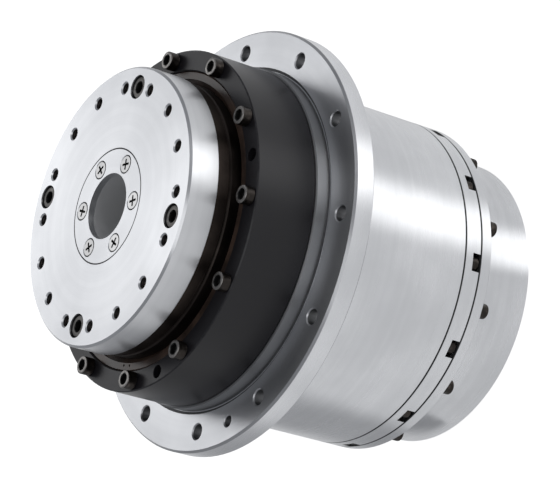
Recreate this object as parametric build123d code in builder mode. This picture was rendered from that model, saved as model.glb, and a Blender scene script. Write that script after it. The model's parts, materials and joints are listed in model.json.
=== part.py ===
from build123d import *
import os
from math import cos, degrees, pi, radians, sin, tan

os.makedirs("parts", exist_ok=True)

# A hollow-shaft rotary actuator: a frameless motor turns an elliptical wave generator,
# and a strain wave gear and a crossed roller bearing carry the output flange.
# Millimetres. +Z is the axis of rotation, towards the output. The origin is the centre
# of the mounting flange's front face.

# Lengths along the axis, seen from outside
pilot_l = 6.5
bearing_housing_l = 30.5
output_gap = 10.0
output_t = 15.0
flange_t = 10.5
body_l = 68.5
bracket_t = 9.0
cover_flange_t = 6.0
cover_can_l = 31.5

# Outer diameters
bore_d = 30.0
output_d = 127.5
bearing_housing_d = 156.4
pilot_d = 158.1
flange_d = 196.0
body_d = 154.8
cover_can_d = 135.0

# Clearances
running_c = 0.05
pocket_c = 0.1
thread_c = 0.02
rub_c = 0.02

# Edge breaks
edge_c = 0.5
rim_c = 1.0
relief_w = 1.5
relief_depth = 0.8

# Screw patterns
mounting_holes = 12
mounting_hole_d = 7.0
jack_hole_d = 5.0
rim_pcd = 147.0
rim_screws = 12
output_pcd = 108.5
output_holes = 16
output_hole_d = 5.0
output_hole_depth = 12.0
output_screws_n = 4
output_angle = -1.4
plate_pcd = 41.0
plate_screws = 6

# Standard screws: thread diameter to head diameter, and to the hexagon of its key
head_d = {3: 5.5, 4: 7.0, 6: 10.0}
key_af = {3: 2.5, 4: 3.0, 6: 5.0}
thread_engagement = 8.0

# Motor housing inside
body_wall = 7.4
web_t = 14.5
brim_step = 3.5
shaft_hole_wall = 3.0

# Rotor and its ball bearings
sleeve_wall = 2.0
sleeve_gap = 1.0
shaft_wall = 7.0
shoulder_h = 3.0
bearing_section = 11.0
bearing_w = 12.0
ball_d = 6.5
balls_n = 14
groove_share = 0.22
hub_rim_t = 4.0
hub_web_t = 6.0
hub_depth = 8.0

# Motor
slots = 18
poles = 20
stack_l = 30.0
stack_clear = 14.0
stator_yoke = 8.5
tooth_w = 8.0
tooth_tip = 2.5
slot_opening = 2.5
air_gap = 0.7
magnet_t = 3.3
magnet_share = 0.86
rotor_yoke = 9.0
coil_side = 3.7
coil_head = 9.0
coil_gap = 0.15

# Strain wave gear
flex_teeth = 100
spline_teeth = 102
tooth_module = 0.8
addendum = 0.45
dedendum = 0.55
flank_angle = 28.0
backlash = 0.1
rim_t = 1.0
tooth_l = 12.5
brim_t = 4.5
brim_rim = 3.5
brim_lap = 4.0
diaphragm_t = 1.2
diaphragm_lift = 1.8
spline_wall = 7.0
spline_flange_t = 6.7
spline_lip = 1.0

# Wave generator
wave_race_w = 9.0
wave_outer_t = 2.0
wave_inner_t = 2.4
wave_ball_d = 5.5
wave_balls_n = 20
wave_groove = 0.9
wave_shoulder = 1.0
wave_shoulder_t = 2.0
wave_nose_wall = 9.0
wave_nose_l = 8.5

# Crossed roller bearing
roller_d = 6.0
roller_n = 40
roller_end_c = 0.1
race_gap = 1.4
outer_ring_d = 140.0
inner_ring_lift = 1.5
groove_edge = 0.8
spacer_t = 2.8

# Seals
front_seal_d = 137.2
front_seal_t = 5.1
front_seal_drop = 0.7
front_seal_lip = 2.4
seal_dot_d = 1.2
oil_seal_section = 8.0
oil_seal_t = 7.0
rear_seal_section = 7.0
rear_seal_t = 5.0
o_ring_d = 2.0

# Retaining plate and sleeve flange
plate_d = 52.0
plate_t = 3.0
plate_gap = 0.25
head_gap = 0.35
sleeve_flange_d = 46.0
sleeve_flange_t = 3.0

# Front bearing cover
bearing_cover_d = 92.0
bearing_cover_t = 3.0
bearing_cover_screws = 6
seal_boss_wall = 4.0

# Bearing bracket
bracket_hub_wall = 6.0
bracket_web_t = 7.0
bracket_spigot = 3.0
cover_spigot = 1.5
spigot_wall = 4.0
pocket_w = 8.3
pocket_depth = 4.6
lead_hole_d = 12.0
washer_t = 0.6
bearing_lip = 1.0

# Holding brake
brake_d = 116.0
brake_bore_d = 64.0
magnet_l = 16.0
coil_in_d = 80.0
coil_out_d = 100.0
coil_depth = 12.0
armature_t = 4.0
armature_gap = 0.32
friction_t = 3.0
brake_plate_t = 3.0
brake_screw_n = 3
brake_screw_pcd = 108.0
spacer_d = 7.0
spring_n = 6
spring_pcd = 70.0
spring_d = 4.6
spring_depth = 10.0
spring_wire = 0.9
spring_turns = 4
brake_hub_wall = 2.5
brake_hub_l = 5.0
friction_d = 100.0

# Encoder
encoder_hub_wall = 3.0
encoder_hub_t = 3.0
encoder_skirt = 2.5
disc_d = 92.0
disc_t = 1.0
disc_seat = 1.5
board_t = 1.6
board_d = 120.0
board_clear = 1.0
board_bore_d = 60.0
reader_w = 12.0
reader_l = 9.0
reader_h = 2.2

# Rear cover and cable glands
cover_wall = 3.5
end_lip = 1.0
seal_boss_t = 3.5
gland_angles = (60, 90)
gland_boss_d = 25.0
gland_boss_h = 3.5
gland_thread_d = 16.0
gland_bore_d = 8.0
gland_hex = 20.0
gland_hex_t = 4.5
gland_neck_d = 14.0
gland_neck_l = 10.0
gland_nut_d = 19.0
gland_nut_l = 14.0

# Levels along the axis, worked out from the lengths
housing_rear_z = pilot_l
housing_front_z = housing_rear_z + bearing_housing_l
output_rear_z = housing_front_z + output_gap
output_face_z = output_rear_z + output_t
flange_rear_z = -flange_t
body_rear_z = flange_rear_z - body_l
bracket_rear_z = body_rear_z - bracket_t
cover_flange_z = bracket_rear_z - cover_flange_t
cover_end_z = cover_flange_z - cover_can_l
cover_floor_z = cover_end_z + cover_wall
brim_seat_z = housing_rear_z - brim_t
bearing_seat_z = brim_seat_z - brim_step
diaphragm_rear_z = brim_seat_z + diaphragm_lift
diaphragm_front_z = diaphragm_rear_z + diaphragm_t
front_shoulder_z = bearing_seat_z - bearing_w
web_rear_z = bearing_seat_z - web_t
stack_front_z = web_rear_z - stack_clear
stack_rear_z = stack_front_z - stack_l
seal_face_z = housing_front_z - front_seal_drop
seal_rear_z = seal_face_z - front_seal_t
bearing_front_z = seal_rear_z
roller_z = (housing_rear_z + bearing_front_z) / 2
inner_ring_rear_z = housing_rear_z + inner_ring_lift
spline_seat_z = output_rear_z - spline_flange_t
tooth_front_z = spline_seat_z - spline_lip
tooth_rear_z = tooth_front_z - tooth_l - spline_lip * 2
flex_front_z = tooth_front_z - spline_lip
flex_rim_z = flex_front_z - tooth_l
wave_mid_z = (flex_front_z + flex_rim_z) / 2
plug_rear_z = wave_mid_z - wave_race_w / 2 - wave_shoulder_t
shaft_front_z = wave_mid_z + wave_race_w / 2 + edge_c
plug_front_z = shaft_front_z + wave_nose_l
washer_rear_z = bracket_rear_z + bearing_lip
rear_bearing_z = washer_rear_z + washer_t
rear_shoulder_z = rear_bearing_z + bearing_w
magnet_face_z = bracket_rear_z - magnet_l
armature_z = magnet_face_z - armature_gap
friction_front_z = armature_z - armature_t
friction_rear_z = friction_front_z - friction_t
brake_plate_z = friction_rear_z - brake_plate_t
board_rear_z = cover_floor_z + board_clear
board_front_z = board_rear_z + board_t
shaft_rear_z = friction_rear_z - brake_plate_t - disc_t
encoder_hub_z = shaft_rear_z - encoder_hub_t
disc_rear_z = encoder_hub_z + disc_seat
seal_boss_z = cover_floor_z + seal_boss_t - end_lip
sleeve_rear_z = cover_end_z + edge_c

# Radii worked out from the diameters
mounting_circle_r = (flange_d + pilot_d) / 4
bore_r = bore_d / 2
sleeve_r = bore_r + sleeve_wall
shaft_bore_r = sleeve_r + sleeve_gap
shaft_r = shaft_bore_r + shaft_wall
rear_journal_r = shaft_r - sleeve_gap
shoulder_r = shaft_r + shoulder_h
rotor_bearing_r = shaft_r + bearing_section
ball_circle_r = (shaft_r + rotor_bearing_r) / 2
body_bore_r = body_d / 2 - body_wall
rim_r = rim_pcd / 2
flex_r = tooth_module * flex_teeth / 2
spline_r = tooth_module * spline_teeth / 2
deflection = spline_r - flex_r
tooth_pitch = pi * tooth_module
flex_root_r = flex_r - dedendum
flex_bore_r = flex_root_r - rim_t
spline_tip_r = spline_r - addendum
spline_root_r = spline_r + dedendum
spline_od_r = spline_root_r + spline_wall
wave_outer_r = flex_bore_r - rub_c
wave_outer_bore_r = wave_outer_r - wave_outer_t
wave_ball_r = wave_outer_bore_r + wave_groove - wave_ball_d / 2
wave_inner_r = wave_ball_r - wave_ball_d / 2 + wave_groove
plug_r = wave_inner_r - wave_inner_t
nose_r = shaft_bore_r + wave_nose_wall
neck_r = (outer_ring_d - 2 * roller_d - race_gap) / 2 - race_gap / 2
roller_circle_r = neck_r + race_gap / 2
hub_seat_r = shaft_r + hub_depth
rotor_core_r = hub_seat_r + rotor_yoke
magnet_r = rotor_core_r + magnet_t
stator_bore_r = magnet_r + air_gap
coil_in_r = stator_bore_r + tooth_tip
coil_out_r = body_bore_r - stator_yoke
brim_in_r = outer_ring_d / 2 - brim_lap
brim_out_r = rim_r + brim_rim
gland_face_r = cover_can_d / 2 + gland_boss_h
gland_z = (cover_flange_z + cover_end_z) / 2 + edge_c


def cap_screw(size, length):
    """A socket head cap screw with the underside of its head at the origin, head up."""
    with BuildPart() as screw:
        with BuildSketch():
            Circle(head_d[size] / 2)
        extrude(amount=size)
        chamfer(screw.edges().sort_by(Axis.Z)[-1], size / 14)
        with BuildSketch(Plane.XY.offset(size)):
            RegularPolygon(key_af[size] / 2, 6, major_radius=False)
        extrude(amount=-size / 2, mode=Mode.SUBTRACT)
        with BuildSketch():
            Circle(size / 2)
        extrude(amount=-length)
    return screw.part


def countersunk_screw(size, length):
    """A cross-recessed countersunk screw with the flat of its head at the origin."""
    cross_w = size * 0.22
    with BuildPart() as screw:
        with BuildSketch():
            Circle(size)
        with BuildSketch(Plane.XY.offset(-size / 2)):
            Circle(size / 2)
        loft()
        with BuildSketch():
            Circle(size / 2)
        extrude(amount=-length)
        with BuildSketch():
            Rectangle(size * 1.1, cross_w)
            Rectangle(cross_w, size * 1.1)
        extrude(amount=-size * 0.4, mode=Mode.SUBTRACT)
    return screw.part


# Motor housing: mounting flange, pilot and motor barrel in one piece
with BuildPart() as motor_housing:
    with BuildSketch(Plane.XZ):
        with BuildLine():
            Polyline(
                (rotor_bearing_r - shaft_hole_wall, web_rear_z),
                (body_bore_r, web_rear_z),
                (body_bore_r, body_rear_z),
                (body_d / 2 - edge_c, body_rear_z),
                (body_d / 2, body_rear_z + edge_c),
                (body_d / 2, flange_rear_z),
                (flange_d / 2 - rim_c, flange_rear_z),
                (flange_d / 2, flange_rear_z + rim_c),
                (flange_d / 2, -rim_c),
                (flange_d / 2 - rim_c, 0),
                (pilot_d / 2 + relief_w, 0),
                (pilot_d / 2 + relief_w, -relief_depth),
                (pilot_d / 2, -relief_depth),
                (pilot_d / 2, housing_rear_z - edge_c),
                (pilot_d / 2 - edge_c, housing_rear_z),
                (brim_out_r + running_c, housing_rear_z),
                (brim_out_r + running_c, brim_seat_z),
                (brim_in_r, brim_seat_z),
                (brim_in_r, bearing_seat_z),
                (rotor_bearing_r, bearing_seat_z),
                (rotor_bearing_r, front_shoulder_z),
                (rotor_bearing_r - shaft_hole_wall, front_shoulder_z),
                close=True,
            )
        make_face()
    revolve()
    # The mounting holes, and two tapped holes for jack screws between them
    with BuildSketch():
        with PolarLocations(mounting_circle_r, mounting_holes):
            Circle(mounting_hole_d / 2)
        with PolarLocations(mounting_circle_r, 2, start_angle=180 / mounting_holes):
            Circle(jack_hole_d / 2)
    extrude(amount=-flange_t, mode=Mode.SUBTRACT)
    mouths = motor_housing.edges().filter_by(GeomType.CIRCLE).filter_by(
        lambda mouth: mouth.radius <= mounting_hole_d / 2
    )
    chamfer(mouths, edge_c)
    # Tapped holes for the three rings of screws
    with BuildSketch(Plane.XY.offset(brim_seat_z)):
        with PolarLocations(rim_r, rim_screws):
            Circle(2 + thread_c)
    extrude(amount=-thread_engagement - edge_c, mode=Mode.SUBTRACT)
    with BuildSketch(Plane.XY.offset(body_rear_z)):
        with PolarLocations(rim_r, rim_screws):
            Circle(2 + thread_c)
    extrude(amount=thread_engagement + edge_c, mode=Mode.SUBTRACT)
    with BuildSketch(Plane.XY.offset(bearing_seat_z)):
        with PolarLocations((rotor_bearing_r + bearing_cover_d / 2) / 2, bearing_cover_screws):
            Circle(2 + thread_c)
    extrude(amount=-thread_engagement - edge_c, mode=Mode.SUBTRACT)

# Bearing housing: the black ring that holds the output bearing and clamps the flexspline
with BuildPart() as bearing_housing:
    with BuildSketch(Plane.XZ):
        with BuildLine():
            Polyline(
                (outer_ring_d / 2, housing_rear_z),
                (bearing_housing_d / 2 - edge_c, housing_rear_z),
                (bearing_housing_d / 2, housing_rear_z + edge_c),
                (bearing_housing_d / 2, housing_front_z - edge_c),
                (bearing_housing_d / 2 - edge_c, housing_front_z),
                (front_seal_d / 2 + edge_c, housing_front_z),
                (front_seal_d / 2, housing_front_z - edge_c),
                (front_seal_d / 2, bearing_front_z),
                (outer_ring_d / 2, bearing_front_z),
                close=True,
            )
        make_face()
    revolve()
    with BuildSketch(Plane.XY.offset(housing_front_z)):
        with PolarLocations(rim_r, rim_screws):
            Circle(2 + pocket_c)
    extrude(amount=-bearing_housing_l, mode=Mode.SUBTRACT)
    # Four jack screw holes midway between the screws
    with BuildSketch(Plane.XY.offset(housing_front_z)):
        with PolarLocations(rim_r, 4, start_angle=180 / rim_screws):
            Circle(jack_hole_d / 2 + edge_c)
    extrude(amount=-thread_engagement, mode=Mode.SUBTRACT)

housing_screw = cap_screw(4, bearing_housing_l + brim_t + thread_engagement)
with BuildPart(Plane.XY.offset(housing_front_z)) as bearing_housing_screws:
    with PolarLocations(rim_r, rim_screws):
        add(housing_screw)

# Front seal in the mouth of the bearing housing, with the two dots on its face
with BuildPart() as front_seal:
    with BuildSketch(Plane.XZ):
        with BuildLine():
            Polyline(
                (neck_r + running_c, seal_rear_z),
                (front_seal_d / 2, seal_rear_z),
                (front_seal_d / 2, seal_face_z - edge_c),
                (front_seal_d / 2 - edge_c, seal_face_z),
                (neck_r + front_seal_lip, seal_face_z),
                (neck_r + front_seal_lip, seal_face_z - edge_c * 2),
                (neck_r + running_c, seal_face_z - edge_c * 4),
                close=True,
            )
        make_face()
    revolve()
    with BuildSketch(Plane.XY.offset(seal_face_z)):
        for dot_angle in (171.5, 175.5):
            with PolarLocations(neck_r + front_seal_lip * 1.45, 1, start_angle=dot_angle):
                Circle(seal_dot_d / 2)
    extrude(amount=-edge_c, mode=Mode.SUBTRACT)

# Crossed roller bearing: split outer ring, one-piece inner ring, rollers and separators
race_apex = (roller_d / 2 + rub_c) * 2**0.5
land = race_apex - race_gap / 2
with BuildPart() as bearing_outer_ring_front:
    with BuildSketch(Plane.XZ):
        with BuildLine():
            Polyline(
                (roller_circle_r + race_apex, roller_z),
                (outer_ring_d / 2, roller_z),
                (outer_ring_d / 2, bearing_front_z),
                (roller_circle_r + race_gap / 2, bearing_front_z),
                (roller_circle_r + race_gap / 2, roller_z + land),
                close=True,
            )
        make_face()
    revolve()

with BuildPart() as bearing_outer_ring_rear:
    with BuildSketch(Plane.XZ):
        with BuildLine():
            Polyline(
                (roller_circle_r + race_apex, roller_z),
                (outer_ring_d / 2, roller_z),
                (outer_ring_d / 2, housing_rear_z),
                (roller_circle_r + race_gap / 2, housing_rear_z),
                (roller_circle_r + race_gap / 2, roller_z - land),
                close=True,
            )
        make_face()
    revolve()

with BuildPart() as bearing_inner_ring:
    with BuildSketch(Plane.XZ):
        with BuildLine():
            Polyline(
                (spline_od_r + running_c, inner_ring_rear_z),
                (neck_r - edge_c, inner_ring_rear_z),
                (neck_r, inner_ring_rear_z + edge_c),
                (neck_r, roller_z - land),
                (roller_circle_r - race_apex, roller_z),
                (neck_r, roller_z + land),
                (neck_r, spline_seat_z - groove_edge),
                (neck_r - groove_edge, spline_seat_z),
                (spline_od_r + running_c, spline_seat_z),
                close=True,
            )
        make_face()
    revolve()
    with BuildSketch(Plane.XY.offset(spline_seat_z)):
        with PolarLocations(output_pcd / 2, output_screws_n, start_angle=output_angle - 180 / output_holes):
            Circle(3 + thread_c)
    extrude(amount=-thread_engagement * 1.5, mode=Mode.SUBTRACT)

with BuildPart(Plane.XY.offset(roller_z)) as bearing_rollers:
    for tilt in (-45, 45):
        turn = 0 if tilt < 0 else 360 / roller_n
        with PolarLocations(roller_circle_r, roller_n // 2, start_angle=turn):
            Cylinder(roller_d / 2, roller_d - roller_end_c * 2, rotation=(0, tilt, 0))

with BuildPart(Plane.XY.offset(roller_z)) as roller_separators:
    with PolarLocations(roller_circle_r, roller_n, start_angle=180 / roller_n):
        Box(roller_d * 0.9, spacer_t, roller_d * 0.9, rotation=(0, 45, 0))

# Output flange: tapped face, counterbored screws and the seat of the retaining plate
counterbore_r = head_d[6] / 2 + edge_c
counterbore_depth = 6 + edge_c * 1.6
boss_r = spline_tip_r + deflection - pocket_c
nose_seal_r = nose_r + oil_seal_section
with BuildPart() as output_flange:
    with BuildSketch(Plane.XZ):
        with BuildLine():
            Polyline(
                (sleeve_r + pocket_c, output_rear_z),
                (nose_seal_r, output_rear_z),
                (nose_seal_r, tooth_front_z + spline_lip),
                (boss_r, tooth_front_z + spline_lip),
                (boss_r, output_rear_z),
                (output_d / 2 - edge_c, output_rear_z),
                (output_d / 2, output_rear_z + edge_c),
                (output_d / 2, output_face_z - rim_c),
                (output_d / 2 - rim_c, output_face_z),
                (plate_d / 2 + plate_gap, output_face_z),
                (plate_d / 2 + plate_gap, output_face_z - plate_t),
                (sleeve_flange_d / 2 + pocket_c, output_face_z - plate_t),
                (sleeve_flange_d / 2 + pocket_c, output_face_z - plate_t - sleeve_flange_t),
                (sleeve_r + pocket_c, output_face_z - plate_t - sleeve_flange_t),
                close=True,
            )
        make_face()
    revolve()
    with BuildSketch(Plane.XY.offset(output_face_z)):
        with PolarLocations(output_pcd / 2, output_holes, start_angle=output_angle):
            Circle(output_hole_d / 2)
    extrude(amount=-output_hole_depth, mode=Mode.SUBTRACT)
    mouths = output_flange.edges().filter_by(GeomType.CIRCLE).filter_by(
        lambda mouth: mouth.radius < output_hole_d
    )
    chamfer(mouths.filter_by_position(Axis.Z, output_face_z, output_face_z), edge_c * 1.2)
    with BuildSketch(Plane.XY.offset(output_face_z)):
        with PolarLocations(output_pcd / 2, output_screws_n, start_angle=output_angle - 180 / output_holes):
            Circle(counterbore_r)
    extrude(amount=-counterbore_depth, mode=Mode.SUBTRACT)
    with BuildSketch(Plane.XY.offset(output_face_z)):
        with PolarLocations(output_pcd / 2, output_screws_n, start_angle=output_angle - 180 / output_holes):
            Circle(3 + pocket_c)
    extrude(amount=-output_t, mode=Mode.SUBTRACT)
    with BuildSketch(Plane.XY.offset(output_face_z)):
        with PolarLocations(plate_pcd / 2, plate_screws, start_angle=output_angle + 30):
            Circle(2 + thread_c)
    extrude(amount=-output_t + edge_c, mode=Mode.SUBTRACT)

output_screw = cap_screw(6, output_t - counterbore_depth + spline_flange_t + thread_engagement)
with BuildPart(Plane.XY.offset(output_face_z - counterbore_depth)) as output_screws:
    with PolarLocations(output_pcd / 2, output_screws_n, start_angle=output_angle - 180 / output_holes):
        add(output_screw)

with BuildPart() as retaining_plate:
    with BuildSketch(Plane.XY.offset(output_face_z)):
        Circle(plate_d / 2)
        Circle(bore_r, mode=Mode.SUBTRACT)
    extrude(amount=-plate_t)
    with Locations(Plane.XY.offset(output_face_z)):
        with PolarLocations(plate_pcd / 2, plate_screws, start_angle=output_angle + 30):
            CounterSinkHole(2 + pocket_c, 4 + head_gap, depth=plate_t)

plate_screw = countersunk_screw(4, plate_t + sleeve_flange_t + thread_engagement * 0.75)
with BuildPart(Plane.XY.offset(output_face_z)) as retaining_plate_screws:
    with PolarLocations(plate_pcd / 2, plate_screws, start_angle=output_angle + 30):
        add(plate_screw)

# Centre sleeve: the clear bore, held by its flange under the retaining plate
with BuildPart() as center_sleeve:
    with BuildSketch(Plane.XZ):
        with BuildLine():
            Polyline(
                (bore_r, sleeve_rear_z),
                (sleeve_r, sleeve_rear_z),
                (sleeve_r, output_face_z - plate_t - sleeve_flange_t),
                (sleeve_flange_d / 2, output_face_z - plate_t - sleeve_flange_t),
                (sleeve_flange_d / 2, output_face_z - plate_t),
                (bore_r, output_face_z - plate_t),
                close=True,
            )
        make_face()
    revolve()
    with BuildSketch(Plane.XY.offset(output_face_z - plate_t)):
        with PolarLocations(plate_pcd / 2, plate_screws, start_angle=output_angle + 30):
            Circle(2 + pocket_c)
    extrude(amount=-sleeve_flange_t, mode=Mode.SUBTRACT)

# Strain wave gear teeth: straight-sided teeth of one pitch on both members
flank = tan(radians(flank_angle))
tooth_embed = rim_t / 4


def tooth_sketch(half_at_pitch, below, above):
    """A tooth or a tooth space, standing on the X axis with its pitch line at Y = 0."""
    with BuildSketch() as tooth:
        with BuildLine():
            Polyline(
                (-half_at_pitch - below * flank, -below),
                (half_at_pitch + below * flank, -below),
                (half_at_pitch - above * flank, above),
                (-half_at_pitch + above * flank, above),
                close=True,
            )
        make_face()
    return tooth.sketch


space = tooth_sketch(tooth_pitch / 4 + backlash / 4, addendum + edge_c, dedendum)
tooth = tooth_sketch(tooth_pitch / 4 - backlash / 4, dedendum + tooth_embed, addendum)

with BuildPart() as circular_spline:
    with BuildSketch(Plane.XZ):
        with BuildLine():
            Polyline(
                (spline_tip_r, tooth_rear_z),
                (spline_od_r, tooth_rear_z),
                (spline_od_r, spline_seat_z),
                (neck_r - groove_edge, spline_seat_z),
                (neck_r, spline_seat_z + groove_edge),
                (neck_r, output_rear_z),
                (boss_r + running_c, output_rear_z),
                (boss_r + running_c, tooth_front_z),
                (spline_tip_r, tooth_front_z),
                close=True,
            )
        make_face()
    revolve()
    with BuildSketch(Plane.XY.offset(tooth_rear_z)):
        with PolarLocations(spline_r, spline_teeth):
            add(space, rotation=-90)
    extrude(amount=tooth_front_z - tooth_rear_z, mode=Mode.SUBTRACT)
    with BuildSketch(Plane.XY.offset(spline_seat_z)):
        with PolarLocations(output_pcd / 2, output_screws_n, start_angle=output_angle - 180 / output_holes):
            Circle(3 + pocket_c)
    extrude(amount=spline_flange_t, mode=Mode.SUBTRACT)


def deflected(radius, angle):
    """Where the deflected flexspline carries a point of the round one, and its lean."""
    turn = radians(angle)
    slid = turn - deflection / (2 * radius) * sin(2 * turn)
    out = radius + deflection * cos(2 * slid)
    lean = degrees(slid + 2 * deflection / radius * sin(2 * slid))
    return Location((out * cos(slid), out * sin(slid), 0), (0, 0, lean - 90))


# Flexspline: a clamped brim, a thin diaphragm and a cup that ends in the toothed rim
with BuildPart() as flexspline:
    with BuildSketch(Plane.XY.offset(flex_rim_z)):
        Ellipse(flex_root_r + deflection, flex_root_r - deflection)
        with Locations([deflected(flex_r, 360 / flex_teeth * n) for n in range(flex_teeth)]):
            add(tooth)
        Ellipse(flex_bore_r + deflection, flex_bore_r - deflection, mode=Mode.SUBTRACT)
    extrude(amount=tooth_l)
    for skin_r, skin_mode in ((flex_root_r, Mode.ADD), (flex_bore_r, Mode.SUBTRACT)):
        with BuildSketch(Plane.XY.offset(diaphragm_front_z)):
            Circle(skin_r)
        with BuildSketch(Plane.XY.offset(flex_rim_z)):
            Ellipse(skin_r + deflection, skin_r - deflection)
        loft(mode=skin_mode)
    with BuildSketch(Plane.XZ):
        with BuildLine():
            Polyline(
                (flex_bore_r, diaphragm_rear_z),
                (brim_in_r + pocket_c, diaphragm_rear_z),
                (brim_in_r + pocket_c, brim_seat_z),
                (brim_out_r, brim_seat_z),
                (brim_out_r, housing_rear_z),
                (brim_in_r + pocket_c, housing_rear_z),
                (brim_in_r + pocket_c, diaphragm_front_z),
                (flex_bore_r, diaphragm_front_z),
                close=True,
            )
        make_face()
    revolve()
    with BuildSketch(Plane.XY.offset(brim_seat_z)):
        with PolarLocations(rim_r, rim_screws):
            Circle(2 + pocket_c)
    extrude(amount=brim_t, mode=Mode.SUBTRACT)

# Wave generator: an elliptical plug and the thin ball bearing stretched over it
nose_screw_r = shaft_bore_r + wave_nose_wall * 0.4
nose_screw_z = plug_front_z - 3 - pocket_c * 3
with BuildPart() as wave_plug:
    with BuildSketch(Plane.XY.offset(plug_rear_z)):
        Ellipse(plug_r + wave_shoulder + deflection, plug_r + wave_shoulder - deflection)
    extrude(amount=wave_shoulder_t)
    with BuildSketch(Plane.XY.offset(plug_rear_z)):
        Ellipse(plug_r + deflection, plug_r - deflection)
    extrude(amount=shaft_front_z - plug_rear_z)
    with BuildSketch(Plane.XY.offset(shaft_front_z)):
        Circle(nose_r)
    extrude(amount=wave_nose_l)
    with BuildSketch(Plane.XY.offset(plug_rear_z)):
        Circle(shaft_r)
    extrude(amount=shaft_front_z - plug_rear_z, mode=Mode.SUBTRACT)
    with BuildSketch(Plane.XY.offset(shaft_front_z)):
        Circle(shaft_bore_r)
        with PolarLocations(nose_screw_r, 6):
            Circle(1.5 + pocket_c)
    extrude(amount=wave_nose_l, mode=Mode.SUBTRACT)
    with BuildSketch(Plane.XY.offset(nose_screw_z)):
        with PolarLocations(nose_screw_r, 6):
            Circle(head_d[3] / 2 + pocket_c)
    extrude(amount=plug_front_z - nose_screw_z, mode=Mode.SUBTRACT)

nose_screw = cap_screw(3, nose_screw_z - shaft_front_z + thread_engagement)
with BuildPart(Plane.XY.offset(nose_screw_z)) as wave_plug_screws:
    with PolarLocations(nose_screw_r, 6):
        add(nose_screw)


def wave_race(inner_r, outer_r):
    """A race of the wave generator bearing, bent to the ellipse and grooved for its balls."""
    with BuildPart() as race:
        with BuildSketch(Plane.XY.offset(wave_mid_z - wave_race_w / 2)):
            Ellipse(outer_r + deflection, outer_r - deflection)
            Ellipse(inner_r + deflection, inner_r - deflection, mode=Mode.SUBTRACT)
        extrude(amount=wave_race_w)
        with BuildLine(Plane.XY.offset(wave_mid_z)) as track:
            EllipticalCenterArc(
                (0, 0), wave_ball_r + deflection, wave_ball_r - deflection, 0, arc_size=360
            )
        with BuildSketch(Plane((wave_ball_r + deflection, 0, wave_mid_z), z_dir=(0, 1, 0))):
            Circle(wave_ball_d / 2 + rub_c)
        sweep(path=track.line, mode=Mode.SUBTRACT)
    return race


wave_outer_race = wave_race(wave_outer_bore_r, wave_outer_r)
wave_inner_race = wave_race(plug_r, wave_inner_r)
with BuildPart() as wave_balls:
    for n in range(wave_balls_n):
        turn = 2 * pi * n / wave_balls_n
        long_r, short_r = wave_ball_r + deflection, wave_ball_r - deflection
        with Locations((long_r * cos(turn), short_r * sin(turn), wave_mid_z)):
            Sphere(wave_ball_d / 2)

# Nose seal between the wave generator and the output flange
with BuildPart() as nose_seal:
    with BuildSketch(Plane.XY.offset(tooth_front_z + spline_lip)):
        Circle(nose_seal_r)
        Circle(nose_r + running_c, mode=Mode.SUBTRACT)
    extrude(amount=output_rear_z - tooth_front_z - spline_lip)

# Rotor shaft: journals, the motor hub and the seat of the wave generator
hub_in_r = hub_seat_r - hub_rim_t
hub_mid_z = (stack_front_z + stack_rear_z) / 2
with BuildPart() as rotor_shaft:
    with BuildSketch(Plane.XZ):
        with BuildLine():
            Polyline(
                (shaft_bore_r, shaft_rear_z),
                (rear_journal_r, shaft_rear_z),
                (rear_journal_r, bracket_rear_z),
                (shaft_r, bracket_rear_z),
                (shaft_r, rear_shoulder_z),
                (shoulder_r, rear_shoulder_z),
                (shoulder_r, rear_shoulder_z + shoulder_h),
                (shaft_r, rear_shoulder_z + shoulder_h),
                (shaft_r, hub_mid_z - hub_web_t / 2),
                (hub_in_r, hub_mid_z - hub_web_t / 2),
                (hub_in_r, stack_rear_z),
                (hub_seat_r, stack_rear_z),
                (hub_seat_r, stack_front_z),
                (hub_in_r, stack_front_z),
                (hub_in_r, hub_mid_z + hub_web_t / 2),
                (shaft_r, hub_mid_z + hub_web_t / 2),
                (shaft_r, front_shoulder_z - shoulder_h),
                (shoulder_r, front_shoulder_z - shoulder_h),
                (shoulder_r, front_shoulder_z),
                (shaft_r, front_shoulder_z),
                (shaft_r, shaft_front_z),
                (shaft_bore_r, shaft_front_z),
                close=True,
            )
        make_face()
    revolve()
    with BuildSketch(Plane.XY.offset(shaft_front_z)):
        with PolarLocations(nose_screw_r, 6):
            Circle(1.5 + thread_c)
    extrude(amount=-thread_engagement - edge_c, mode=Mode.SUBTRACT)


def bearing_ring(seat_r, land_r, low_z):
    """A ring of a rotor ball bearing from its seat to its grooved land."""
    with BuildPart() as ring:
        with BuildSketch(Plane.XY.offset(low_z)):
            Circle(max(seat_r, land_r))
            Circle(min(seat_r, land_r), mode=Mode.SUBTRACT)
        extrude(amount=bearing_w)
        with BuildSketch(Plane.XZ):
            with Locations((ball_circle_r, low_z + bearing_w / 2)):
                Circle(ball_d / 2 + rub_c)
        revolve(mode=Mode.SUBTRACT)
    return ring


def ball_set(low_z):
    """The balls of a rotor bearing, evenly round their circle."""
    with BuildPart(Plane.XY.offset(low_z + bearing_w / 2)) as balls:
        with PolarLocations(ball_circle_r, balls_n):
            Sphere(ball_d / 2)
    return balls


def ball_cage(low_z):
    """The cage that keeps the balls apart."""
    with BuildPart(Plane.XY.offset(low_z + bearing_w / 2)) as cage:
        Cylinder(ball_circle_r + ball_d * 0.12, ball_d * 1.3)
        Cylinder(ball_circle_r - ball_d * 0.12, ball_d * 1.3, mode=Mode.SUBTRACT)
        with PolarLocations(ball_circle_r, balls_n):
            Cylinder(ball_d / 2 + pocket_c, ball_d, rotation=(0, 90, 0), mode=Mode.SUBTRACT)
    return cage


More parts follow.
